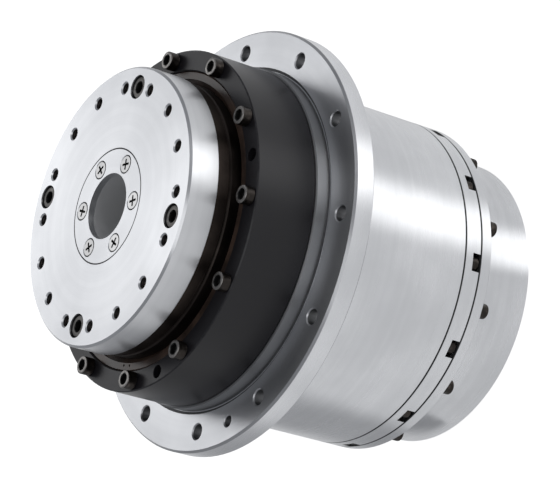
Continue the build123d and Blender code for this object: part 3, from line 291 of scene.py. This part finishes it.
turnedMetal("brake_steel", {
    **turnedBase, "dark": (0.20, 0.205, 0.215), "light": (0.30, 0.305, 0.315), "roughness": 0.45,
    "spread": 0.12, "bump": 0.1, "brushed": 0.2, "fineLines": 1400.0, "coarseLines": 180.0, "edgeShade": 0.2})


def groundSteel(name, values):
    finish = Finish(name)
    fine = finish.turnedLines(values["fineLines"])
    finish.feed("Base Color", finish.toned(finish.cloud(values["cloud"]).ramp(*patchy), values))
    finish.uneven(fine, values)
    finish.bump(fine, values)
    finish.constants(Metallic=values["metallic"], Anisotropic=values["brushed"],
                     Anisotropic_Rotation=acrossLines)


groundBase = {"fineLines": 2600.0, "cloud": 60.0, "spread": 0.08, "bump": 0.08, "bumpDepth": 0.00001,
              "metallic": 1.0, "brushed": 0.3}
groundSteel("bearing_steel", {
    **groundBase, "dark": (0.50, 0.50, 0.52), "light": (0.62, 0.62, 0.64), "roughness": 0.18})
groundSteel("gear_steel", {
    **groundBase, "dark": (0.035, 0.028, 0.025), "light": (0.075, 0.06, 0.052), "roughness": 0.42})
# near-black steel, painted shade for the neck in the gap behind the output flange
groundSteel("oiled_neck", {
    **groundBase, "dark": (0.024, 0.020, 0.018), "light": (0.055, 0.045, 0.040), "roughness": 0.38})
groundSteel("spring_steel", {
    **groundBase, "dark": (0.30, 0.30, 0.32), "light": (0.42, 0.42, 0.44), "roughness": 0.3})
groundSteel("bright_screw_steel", {
    **groundBase, "dark": (0.50, 0.50, 0.50), "light": (0.64, 0.64, 0.64), "roughness": 0.3})
groundSteel("magnet_nickel", {
    **groundBase, "dark": (0.55, 0.54, 0.50), "light": (0.66, 0.65, 0.61), "roughness": 0.2})
groundSteel("sleeve_grey", {
    "dark": (0.62, 0.625, 0.63), "light": (0.72, 0.725, 0.73), "roughness": 0.47, "spread": 0.1,
    "fineLines": 1200.0, "cloud": 40.0, "bump": 0.12, "bumpDepth": 0.00003, "metallic": 0.4, "brushed": 0.0})


def anodisedBlack(name, values):
    finish = Finish(name)
    fine = finish.turnedLines(values["fineLines"])
    grain = finish.cloud(values["grain"], detail=4.0)
    cloud = finish.cloud(values["cloud"])
    worn = finish.chamferMask() * finish.cloud(values["chips"]).ramp(*values["chipEdge"])
    finish.feed("Base Color", finish.toned(worn * values["wear"] + cloud * values["cloudy"], values))
    finish.uneven(cloud, values)
    finish.bump(blend(grain, fine, values["grainBump"]), values)
    finish.constants(Metallic=values["metallic"], Anisotropic=values["brushed"],
                     Anisotropic_Rotation=acrossLines, Specular_IOR_Level=values["shine"])


anodisedBlack("black_anodised", {
    "dark": (0.0075, 0.007, 0.0095), "light": (0.09, 0.09, 0.095), "roughness": 0.34, "spread": 0.1,
    "fineLines": 1500.0, "grain": 1400.0, "cloud": 18.0, "chips": 240.0, "chipEdge": (0.35, 0.6),
    "wear": 0.2, "cloudy": 0.1, "grainBump": 0.6, "bump": 0.12, "bumpDepth": 0.00003, "metallic": 0.1,
    "brushed": 0.35, "shine": 0.42})


def blackOxide(name, values):
    finish = Finish(name)
    worn = finish.cloud(values["patches"]).ramp(*values["patchEdge"])
    finish.feed("Base Color", finish.toned(worn * values["wear"], values))
    finish.uneven(finish.cloud(values["cloud"]), values)
    finish.bump(finish.cloud(values["grain"], detail=4.0), values)
    finish.constants(Metallic=values["metallic"])


oxideBase = {"patches": 320.0, "patchEdge": (0.52, 0.72), "wear": 0.6, "cloud": 130.0, "spread": 0.14,
             "grain": 900.0, "bump": 0.1, "bumpDepth": 0.00002}
blackOxide("black_screw_steel", {
    **oxideBase, "dark": (0.030, 0.025, 0.022), "light": (0.10, 0.084, 0.074), "roughness": 0.30,
    "metallic": 0.8})
# lighter rims for screw heads as a painted highlight, a bright one and a dimmer one
blackOxide("screw_rim", {
    **oxideBase, "dark": (0.24, 0.23, 0.22), "light": (0.50, 0.48, 0.46), "roughness": 0.32,
    "metallic": 0.85})
blackOxide("screw_rim_dull", {
    **oxideBase, "dark": (0.09, 0.086, 0.082), "light": (0.26, 0.25, 0.24), "roughness": 0.34,
    "metallic": 0.85})
# near-black sockets and recesses as painted shade
blackOxide("screw_socket", {
    **oxideBase, "dark": (0.006, 0.006, 0.006), "light": (0.02, 0.019, 0.018), "roughness": 0.6,
    "metallic": 0.3})


def mouldedPlastic(name, values):
    finish = Finish(name)
    cloud = finish.cloud(values["cloud"])
    finish.feed("Base Color", finish.toned(cloud.ramp(*patchy), values))
    finish.uneven(cloud, values)
    finish.bump(finish.cloud(values["grain"], detail=4.0), values)


plasticBase = {"cloud": 35.0, "spread": 0.12, "grain": 1100.0, "bump": 0.15, "bumpDepth": 0.00004}
mouldedPlastic("cage_polymer", {
    **plasticBase, "dark": (0.50, 0.43, 0.27), "light": (0.62, 0.55, 0.38), "roughness": 0.45})
mouldedPlastic("friction_lining", {
    **plasticBase, "dark": (0.10, 0.085, 0.075), "light": (0.24, 0.20, 0.17), "roughness": 0.8,
    "grain": 500.0, "bump": 0.4})
mouldedPlastic("reader_black", {
    **plasticBase, "dark": (0.015, 0.015, 0.016), "light": (0.03, 0.03, 0.032), "roughness": 0.4})
mouldedPlastic("gland_polymer", {
    **plasticBase, "dark": (0.022, 0.022, 0.024), "light": (0.05, 0.05, 0.053), "roughness": 0.46})


def oilyRubber(name, values):
    finish = Finish(name)
    cloud = finish.cloud(values["cloud"])
    finish.feed("Base Color", finish.toned(cloud.ramp(*values["patchEdge"]), values))
    finish.uneven(cloud, values)
    finish.bump(finish.turnedLines(values["fineLines"]), values)


oilyRubber("seal_rubber", {
    "dark": (0.030, 0.020, 0.016), "light": (0.075, 0.048, 0.036), "roughness": 0.3, "spread": 0.16,
    "cloud": 80.0, "patchEdge": (0.35, 0.65), "fineLines": 900.0, "bump": 0.15, "bumpDepth": 0.00005})


def stackedSheets(name, values):
    finish = Finish(name)
    height = finish.axes()[2]
    sheet = (height * (1 / values["sheet"])).maths("FRACT")
    gap = 1 - sheet.ramp(*values["gap"])
    shade = blend(gap, finish.cloud(values["cloud"]), values["gapShade"])
    finish.feed("Base Color", finish.toned(1 - shade, values))
    finish.feed("Roughness", gap * values["gapRoughness"] + values["roughness"])
    finish.bump(1 - gap, values)
    finish.constants(Metallic=values["metallic"])


stackedSheets("lamination_steel", {
    "dark": (0.06, 0.06, 0.065), "light": (0.30, 0.305, 0.32), "roughness": 0.4, "metallic": 0.8,
    "sheet": 0.0005, "gap": (0.06, 0.16), "gapShade": 0.6, "gapRoughness": 0.25, "cloud": 70.0, "bump": 0.4,
    "bumpDepth": 0.00008})


def enamelledWire(name, values):
    finish = Finish(name)
    height = finish.axes()[2]
    cloud = finish.cloud(values["cloud"])
    finish.feed("Base Color", finish.toned(cloud.ramp(*patchy), values))
    finish.uneven(cloud, values)
    finish.bump((height * values["turns"]).maths("SINE"), values)
    finish.constants(Metallic=values["metallic"], Coat_Weight=values["enamel"],
                     Coat_Roughness=values["enamelRoughness"])


enamelledWire("copper_winding", {
    "dark": (0.48, 0.17, 0.05), "light": (0.68, 0.29, 0.11), "roughness": 0.335, "spread": 0.15,
    "cloud": 90.0, "turns": 8000.0, "bump": 0.5, "bumpDepth": 0.0002, "metallic": 0.9, "enamel": 0.4,
    "enamelRoughness": 0.15})


def codedGlass(name, values):
    # clear glass with a ring of opaque ticks
    finish = Finish(name)
    x, y = finish.axes()[:2]
    track = finish.polar()[0].band(**values["track"])
    ticks = (y.maths("ARCTAN2", x) * values["lines"]).maths("SINE").ramp(*values["tickEdge"])
    opaque = track * ticks
    finish.feed("Base Color", finish.toned(1 - opaque, values))
    finish.feed("Roughness", opaque * values["tickRoughness"] + values["roughness"])
    finish.feed("Alpha", opaque * values["tickAlpha"] + values["alpha"])


codedGlass("encoder_glass", {
    "dark": (0.03, 0.03, 0.035), "light": (0.72, 0.78, 0.82), "roughness": 0.05, "tickRoughness": 0.25,
    "alpha": 0.45, "tickAlpha": 0.5, "lines": 360.0, "tickEdge": (-0.1, 0.1),
    "track": {"low": 0.0416, "high": 0.0444, "soft": 0.0001}})


def printedBoard(name, values):
    finish = Finish(name)
    x, y = finish.axes()[:2]
    weave = (x * values["weave"]).maths("SINE") * (y * values["weave"]).maths("SINE")
    tracks = finish.cloud(values["tracks"], detail=1.0).ramp(*values["trackEdge"])
    finish.feed("Base Color", finish.toned(tracks, values))
    finish.uneven(tracks, values)
    finish.bump(weave, values)


printedBoard("board_green", {
    "dark": (0.012, 0.085, 0.035), "light": (0.02, 0.15, 0.055), "roughness": 0.39, "spread": 0.1,
    "weave": 3600.0, "tracks": 400.0, "trackEdge": (0.48, 0.52), "bump": 0.06, "bumpDepth": 0.00003})
print("finishes made:", len(finishes))

# the bearing's inner ring shows only as the neck behind the output flange, and there takes a near-black steel
# as painted shade of the gap
ownFinish = {"bearing_inner_ring": "oiled_neck"}
for name, node in nodes.items():
    node.data.materials.clear()
    node.data.materials.append(finishes[ownFinish.get(name, slotOf[name])])
print("nodes finished")


# shapes with more detail than the solids have

meshValues = {"sameCadPoint": 1e-6, "samePoint": 1e-7, "sharpAngle": 28.0}
threadDepth = 0.55  # in pitches


def loft(mesh, rings, count, place, closed=False):
    # walls between rings of points; a ring is a radius, or a function of step and angle that gives one, then
    # its height and the number of the material of the wall that follows it
    loops = []
    for radius, height, skin in rings:
        loop = []
        for step in range(count):
            angle = 2 * math.pi * step / count
            reach = radius(step, angle) if callable(radius) else radius
            corner = Vector((reach * math.cos(angle), reach * math.sin(angle), height))
            loop.append(mesh.verts.new(place @ corner))
        loops.append((loop, skin))
    pairs = list(zip(loops, loops[1:]))
    if closed:
        pairs.append((loops[-1], loops[0]))
    else:
        for loop, skin in (loops[0], loops[-1]):
            mesh.faces.new(loop).material_index = skin
    for (first, skin), (second, _) in pairs:
        for step in range(count):
            after = (step + 1) % count
            wall = mesh.faces.new((first[step], first[after], second[after], second[step]))
            wall.material_index = skin


def threaded(radius, low, high, pitch):
    # rings of a thread's crests and roots between two heights
    turns = max(1, round((high - low) / pitch))
    step = (high - low) / turns / 2
    depth = pitch * threadDepth
    return [(radius - turn % 2 * depth, low + turn * step, 0) for turn in range(2 * turns + 1)]


def addPiece(name, mesh, materials, body, slot, *replaced):
    bmesh.ops.remove_doubles(mesh, verts=mesh.verts, dist=meshValues["samePoint"])
    bmesh.ops.recalc_face_normals(mesh, faces=mesh.faces)
    for face in mesh.faces:
        face.smooth = True
    data = bpy.data.meshes.new(name)
    mesh.to_mesh(data)
    mesh.free()
    data.set_sharp_from_angle(angle=math.radians(meshValues["sharpAngle"]))
    for material in materials:
        data.materials.append(finishes[material])
    piece = bpy.data.objects.new(name, data)
    scene.collection.objects.link(piece)
    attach(piece, body)
    if replaced:
        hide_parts(*replaced)
    print(name, len(data.polygons), "faces")


def islands(node):
    # the corners of each separate solid of a CAD node, always in the same order
    mesh = bmesh.new()
    mesh.from_mesh(nodes[node].data)
    bmesh.ops.remove_doubles(mesh, verts=mesh.verts, dist=meshValues["sameCadPoint"])
    seen = set()
    found = []
    for start in mesh.verts:
        if start in seen:
            continue
        seen.add(start)
        points = []
        front = [start]
        while front:
            vert = front.pop()
            points.append(vert.co.copy())
            for edge in vert.link_edges:
                other = edge.other_vert(vert)
                if other not in seen:
                    seen.add(other)
                    front.append(other)
        found.append(points)
    mesh.free()
    return found


# screws

screwSteps = {"cap": 72, "cross": 96, "shank": 18}
shankValues = {"tip": 0.3, "tipWidth": 0.7}  # the pointed end's length and width, in shank radii
headShare = 0.8  # corners farther out than this share of the screw's radius belong to its head
leastSine = 0.01  # keeps the cross recess's arms from dividing by nothing
stopTurn = math.radians(37)  # from screw to screw, so that no two of a set stop at the same angle


def axialScrews(node):
    # for each screw of a node: a place with its z axis out of the head, at the head's top, and the length
    found = []
    for points in islands(node):
        lows = [min(point[axis] for point in points) for axis in range(3)]
        highs = [max(point[axis] for point in points) for axis in range(3)]
        middle = Vector(((lows[0] + highs[0]) / 2, (lows[1] + highs[1]) / 2, 0))
        reach = [(point.xy - middle.xy).length for point in points]
        wide = [point.z for point, distance in zip(points, reach) if distance > headShare * max(reach)]
        up = sum(wide) / len(wide) > (lows[2] + highs[2]) / 2
        middle.z = highs[2] if up else lows[2]
        turn = Matrix.Identity(4) if up else Matrix.Rotation(math.pi, 4, "X")
        stop = Matrix.Rotation(len(found) * stopTurn, 4, "Z")
        found.append((Matrix.Translation(middle) @ turn @ stop, highs[2] - lows[2]))
    return found


def threadedShank(mesh, place, length, threadTop, neckLow, neckTop, values):
    # a pointed end, a thread and a plain neck that runs up into the head
    shank = values["size"] / 2
    thread = threaded(shank, -length + shank * shankValues["tip"], threadTop, values["pitch"])
    tip = (shank * shankValues["tipWidth"], -length, 0)
    loft(mesh, [tip, *thread, (shank, neckLow, 0), (shank, neckTop, 0)], screwSteps["shank"], place)


# a cap head's rim: how far in and how far down, in crowns, and the number of the wall's material
rimCurve = [(0.0, 1.8, 0), (0.15, 0.6, 1), (0.7, 0.12, 1), (1.3, 0.0, 1)]
knurlEnds = (1.5, 2.2)  # from the head's foot and from its top, in crowns


def capScrew(mesh, place, length, values):
    # a knurled head with a rounded rim and a hexagon socket; the rim and top face take a lighter colour as a
    # painted highlight, the socket a near-black one as painted shade
    radius = values["head"] / 2
    height = values["height"]
    shank = values["size"] / 2
    crown = values["crown"]

    def knurled(step, angle):
        return radius - values["knurl"] * (step % 2)

    def hexagon(step, angle):
        return values["socket"] / 2 / math.cos(angle % (math.pi / 3) - math.pi / 6)

    rings = [
        (shank, -height, 0), (radius - crown, -height, 0), (radius, -height + crown, 0),
        (knurled, -height + crown * knurlEnds[0], 0), (knurled, -crown * knurlEnds[1], 0),
        *[(radius - crown * inward, -crown * down, skin) for inward, down, skin in rimCurve],
        (values["socket"] / 2 * values["mouth"], 0, 2), (hexagon, -crown / 2, 2),
        (hexagon, -values["depth"], 2), (values["socket"] * values["drill"], -values["depth"] - crown, 2),
    ]
    loft(mesh, rings, screwSteps["cap"], place @ Matrix.Translation((0, 0, values["proud"])))
    threadedShank(mesh, place, length, -height - shank, -height - shank, -height + crown, values)


def countersunkScrew(mesh, place, length, values):
    # a flat head with a cross recess that narrows downwards; the recess and the head's outer edge take a
    # near-black colour as painted shade
    radius = values["head"] / 2
    coneFoot = -(radius - values["size"] / 2) - values["neck"]

    def cross(scale):
        def outline(step, angle):
            off = min(angle % (math.pi / 2), -angle % (math.pi / 2))
            side = max(math.sin(off), leastSine)
            return scale * min(values["arm"] / math.cos(off), values["slot"] / 2 / side)
        return outline

    top, middle, bottom = (cross(scale) for scale in values["recess"])
    rings = [
        (values["size"] / 2, coneFoot, 0), (radius - values["nick"], -values["edge"], 1),
        (radius, -values["land"], 1), (radius - values["edge"], 0, 0), (top, 0, 1),
        (middle, -values["edge"], 1), (bottom, -values["depth"], 1),
    ]
    loft(mesh, rings, screwSteps["cross"], place)
    threadedShank(mesh, place, length, coneFoot - values["land"], coneFoot, coneFoot + values["edge"], values)


def screwSet(node, body, maker, values, materials):
    mesh = bmesh.new()
    for place, length in axialScrews(node):
        maker(mesh, place, length, values)
    addPiece(node + "_fine", mesh, materials, body, slotOf[node], node)


metric4 = {"size": 0.004, "pitch": 0.0007, "head": 0.0070, "height": 0.0040, "socket": 0.0030,
           "depth": 0.0022, "crown": 0.0004, "knurl": 0.00012, "proud": 0.0, "mouth": 1.18, "drill": 0.2}
metric6 = {"size": 0.006, "pitch": 0.0010, "head": 0.0100, "height": 0.0060, "socket": 0.0050,
           "depth": 0.0032, "crown": 0.0005, "knurl": 0.00015, "proud": 0.0, "mouth": 1.18, "drill": 0.2}
# in the photograph the heads on the black ring are wider than the solids' 7 mm and stand higher
bold4 = {**metric4, "head": 0.0082, "height": 0.0047, "socket": 0.0045, "proud": 0.0007}
crossed4 = {"size": 0.004, "pitch": 0.0007, "head": 0.0080, "arm": 0.0025, "slot": 0.0011, "depth": 0.0018,
            "edge": 0.0003, "land": 0.0002, "nick": 0.0001, "neck": 0.0004, "recess": (1.0, 0.92, 0.5)}
# the rims take a painted highlight, bright on the black ring's screws and dimmer on the others; sockets and
# recesses take painted shade
brightRimSkins = ["black_screw_steel", "screw_rim", "screw_socket"]
dimRimSkins = ["black_screw_steel", "screw_rim_dull", "screw_socket"]
brightSkins = ["bright_screw_steel", "screw_socket"]
screwSet("bearing_housing_screws", "housing", capScrew, bold4, brightRimSkins)
screwSet("output_screws", "output", capScrew, metric6, dimRimSkins)
screwSet("bracket_screws", "housing", capScrew, metric4, dimRimSkins)
screwSet("rear_cover_screws", "housing", capScrew, metric4, dimRimSkins)
screwSet("retaining_plate_screws", "output", countersunkScrew, crossed4, brightSkins)


# gland nuts

def glandNuts(values):
    # domed sealing nuts with finger ribs, their seal set in, and a bore all the way through
    mesh = bmesh.new()
    for points in islands("cable_gland_nuts"):
        middle = sum(points, Vector()) / len(points)
        out = Vector((middle.x, middle.y, 0)).normalized()
        near = min(point.dot(out) for point in points)
        length = max(point.dot(out) for point in points) - near
        radius = max(point.z for point in points) - middle.z
        outward = out.to_track_quat("Z", "Y").to_matrix().to_4x4()
        place = Matrix.Translation(out * near + Vector((0, 0, middle.z))) @ outward

        def ribbed(step, angle):
            return radius - values["rib"] * (step % values["ribEvery"] < values["ribWidth"])

        rings = [
            (values["thread"], 0, 0), (radius - values["bevel"], 0, 0), (radius, values["bevel"], 0),
            (ribbed, values["ribFoot"], 0), (ribbed, length * values["ribTop"], 0),
            *[(radius - inward, length * share, 0) for inward, share in values["dome"]],
            (radius - values["lip"], length, 1), (values["bore"] + values["flare"], length, 1),
            (values["bore"], length - values["bevel"], 1), (values["bore"], length * values["sealFoot"], 1),
            (values["thread"], length * values["threadTop"], 0),
        ]
        loft(mesh, rings, values["steps"], place, closed=True)
    addPiece("gland_nuts_fine", mesh, ["gland_polymer", "seal_rubber"], "housing", "gland_polymer",
             "cable_gland_nuts")


glandNuts({
    "thread": 0.0071, "bore": 0.0040, "bevel": 0.001, "flare": 0.0008, "lip": 0.0042, "rib": 0.0005,
    "ribEvery": 6, "ribWidth": 2, "ribFoot": 0.0015, "ribTop": 0.62, "sealFoot": 0.4, "threadTop": 0.35,
    "dome": [(0.0006, 0.7), (0.0016, 0.86), (0.0034, 0.97)], "steps": 96})


# threads in the output flange

def tappedThreads(values):
    # crests that stand a little inside each tapped hole, in the dark gear steel as painted shade of the holes
    mesh = bmesh.new()
    reach = metres("output_bolts", "pcd_mm") / 2
    count = mounts["output_bolts"]["dims"]["count"]
    turns = threaded(0.0, -values["low"], -values["high"], values["pitch"])
    inner = [(values["crest"] - offset, height, skin) for offset, height, skin in turns]
    outer = [(values["outer"], -values["high"], 0), (values["outer"], -values["low"], 0)]
    for hole in range(count):
        angle = math.radians(values["start"]) + 2 * math.pi * hole / count
        place = Matrix.Translation((reach * math.cos(angle), reach * math.sin(angle), outputHeight))
        loft(mesh, [*inner, *outer], values["steps"], place, closed=True)
    addPiece("output_threads", mesh, ["gear_steel"], "output", "output_steel")


tappedThreads({
    "start": -1.4, "crest": 0.00235, "outer": 0.0029, "low": 0.0115, "high": 0.0007, "pitch": 0.001,
    "steps": 24})


# floor

def fan(finish, values):
    # a sector of the floor that opens from a corner
    x, y = finish.axes()[:2]
    across, along = values["corner"]
    angle = (y - along).maths("ARCTAN2", x - across) * (180 / math.pi)
    return angle.band(values["from"], values["to"], values["soft"]) * values["amount"]


def paleFloor(values):
    # metal sees a white card and a dim patch on the floor that the camera doesn't see; the card gives the
    # long bright band on every turned side
    finish = Finish("floor_white")
    camera = finish.node("ShaderNodeLightPath", output="Is Camera Ray")
    mirror = finish.node("ShaderNodeLightPath", output="Is Glossy Ray")
    reflected = fan(finish, values["card"]) + values["glow"] - fan(finish, values["dim"])
    seen = camera * values["whiteToCamera"] + mirror * reflected
    cloud = finish.cloud(values["cloud"])
    finish.feed("Base Color", finish.toned(cloud, values))
    finish.uneven(cloud, values)
    glow = finish.node("ShaderNodeEmission", {}, {"Color": (1, 1, 1, 1), "Strength": values["strength"]})
    matt = Wire(finish, finish.shader.outputs[0])
    lit = finish.node("ShaderNodeMixShader", {}, {0: seen, 1: matt, 2: glow})
    finish.tree.links.new(lit.socket, finish.tree.nodes["Material Output"].inputs["Surface"])


floorValues = {
    "size": 12.0, "gap": 0.00005, "dark": (0.80, 0.80, 0.80), "light": (0.84, 0.84, 0.84), "cloud": 3.0,
    "roughness": 0.80, "spread": 0.1, "strength": 2.0, "whiteToCamera": 0.46, "glow": 0.215,
    "card": {"corner": (-0.005, -0.040), "from": -66.0, "to": -38.0, "soft": 8.0, "amount": 0.5},
    "dim": {"corner": (-0.070, -0.022), "from": 105.0, "to": 162.0, "soft": 14.0, "amount": 0.205},
}
paleFloor(floorValues)
floorMesh = bmesh.new()
bmesh.ops.create_grid(floorMesh, x_segments=2, y_segments=2, size=floorValues["size"] / 2)
bmesh.ops.translate(floorMesh, verts=floorMesh.verts, vec=(0, 0, cadBox[0].z - floorValues["gap"]))
floorData = bpy.data.meshes.new("floor")
floorMesh.to_mesh(floorData)
floorMesh.free()
floorData.materials.append(finishes["floor_white"])
floor = bpy.data.objects.new("floor", floorData)
scene.collection.objects.link(floor)
print("floor made")


# light

lampValues = {
    "bandLamp": {"azimuth": -52.0, "elevation": 9.0, "distance": 1.3, "width": 0.6, "height": 0.6,
                 "power": 2.8},
    "faceLamp": {"azimuth": 74.0, "elevation": 50.0, "distance": 1.6, "width": 0.5, "height": 2.2,
                 "power": 3.7},
    "cameraLamp": {"azimuth": -106.0, "elevation": 62.0, "distance": 1.6, "width": 0.8, "height": 1.4,
                   "power": 3.2},
}
for name, values in lampValues.items():
    lamp = bpy.data.lights.new(name, "AREA")
    lamp.shape = "RECTANGLE"
    lamp.size = values["width"]
    lamp.size_y = values["height"]
    lamp.energy = values["power"]
    turn = math.radians(values["azimuth"])
    rise = math.radians(values["elevation"])
    away = Vector((math.cos(turn) * math.cos(rise), math.sin(turn) * math.cos(rise), math.sin(rise)))
    lampHolder = bpy.data.objects.new(name, lamp)
    lampHolder.location = away * values["distance"]
    lampHolder.rotation_euler = away.to_track_quat("Z", "Y").to_euler()
    lampHolder.visible_camera = False
    scene.collection.objects.link(lampHolder)

skyValues = {"colour": (0.93, 0.95, 1.0, 1), "strength": 0.29, "seenByCamera": (1, 1, 1, 1)}
world = bpy.data.worlds.new("studio")
world.use_nodes = True
scene.world = world
sky = world.node_tree
softSky = sky.nodes["Background"]
softSky.inputs["Color"].default_value = skyValues["colour"]
softSky.inputs["Strength"].default_value = skyValues["strength"]
whiteSky = sky.nodes.new("ShaderNodeBackground")
whiteSky.inputs["Color"].default_value = skyValues["seenByCamera"]
lightPath = sky.nodes.new("ShaderNodeLightPath")
skyMix = sky.nodes.new("ShaderNodeMixShader")
sky.links.new(lightPath.outputs["Is Camera Ray"], skyMix.inputs[0])
sky.links.new(softSky.outputs[0], skyMix.inputs[1])
sky.links.new(whiteSky.outputs[0], skyMix.inputs[2])
sky.links.new(skyMix.outputs[0], sky.nodes["World Output"].inputs["Surface"])
print("lights made")


# camera

cameraValues = {
    "location": (-0.307803, -1.040696, 0.686700), "turn": (23.1892, 53.1206, -78.5855), "lens": 182.9465,
    "sensor": 36.0, "near": 0.05, "far": 30.0,
}
camera = bpy.data.cameras.new("camera")
camera.lens = cameraValues["lens"]
camera.sensor_width = cameraValues["sensor"]
camera.clip_start = cameraValues["near"]
camera.clip_end = cameraValues["far"]
cameraHolder = bpy.data.objects.new("camera", camera)
cameraHolder.location = cameraValues["location"]
cameraHolder.rotation_euler = [math.radians(angle) for angle in cameraValues["turn"]]
scene.collection.objects.link(cameraHolder)
scene.camera = cameraHolder
print("camera placed")
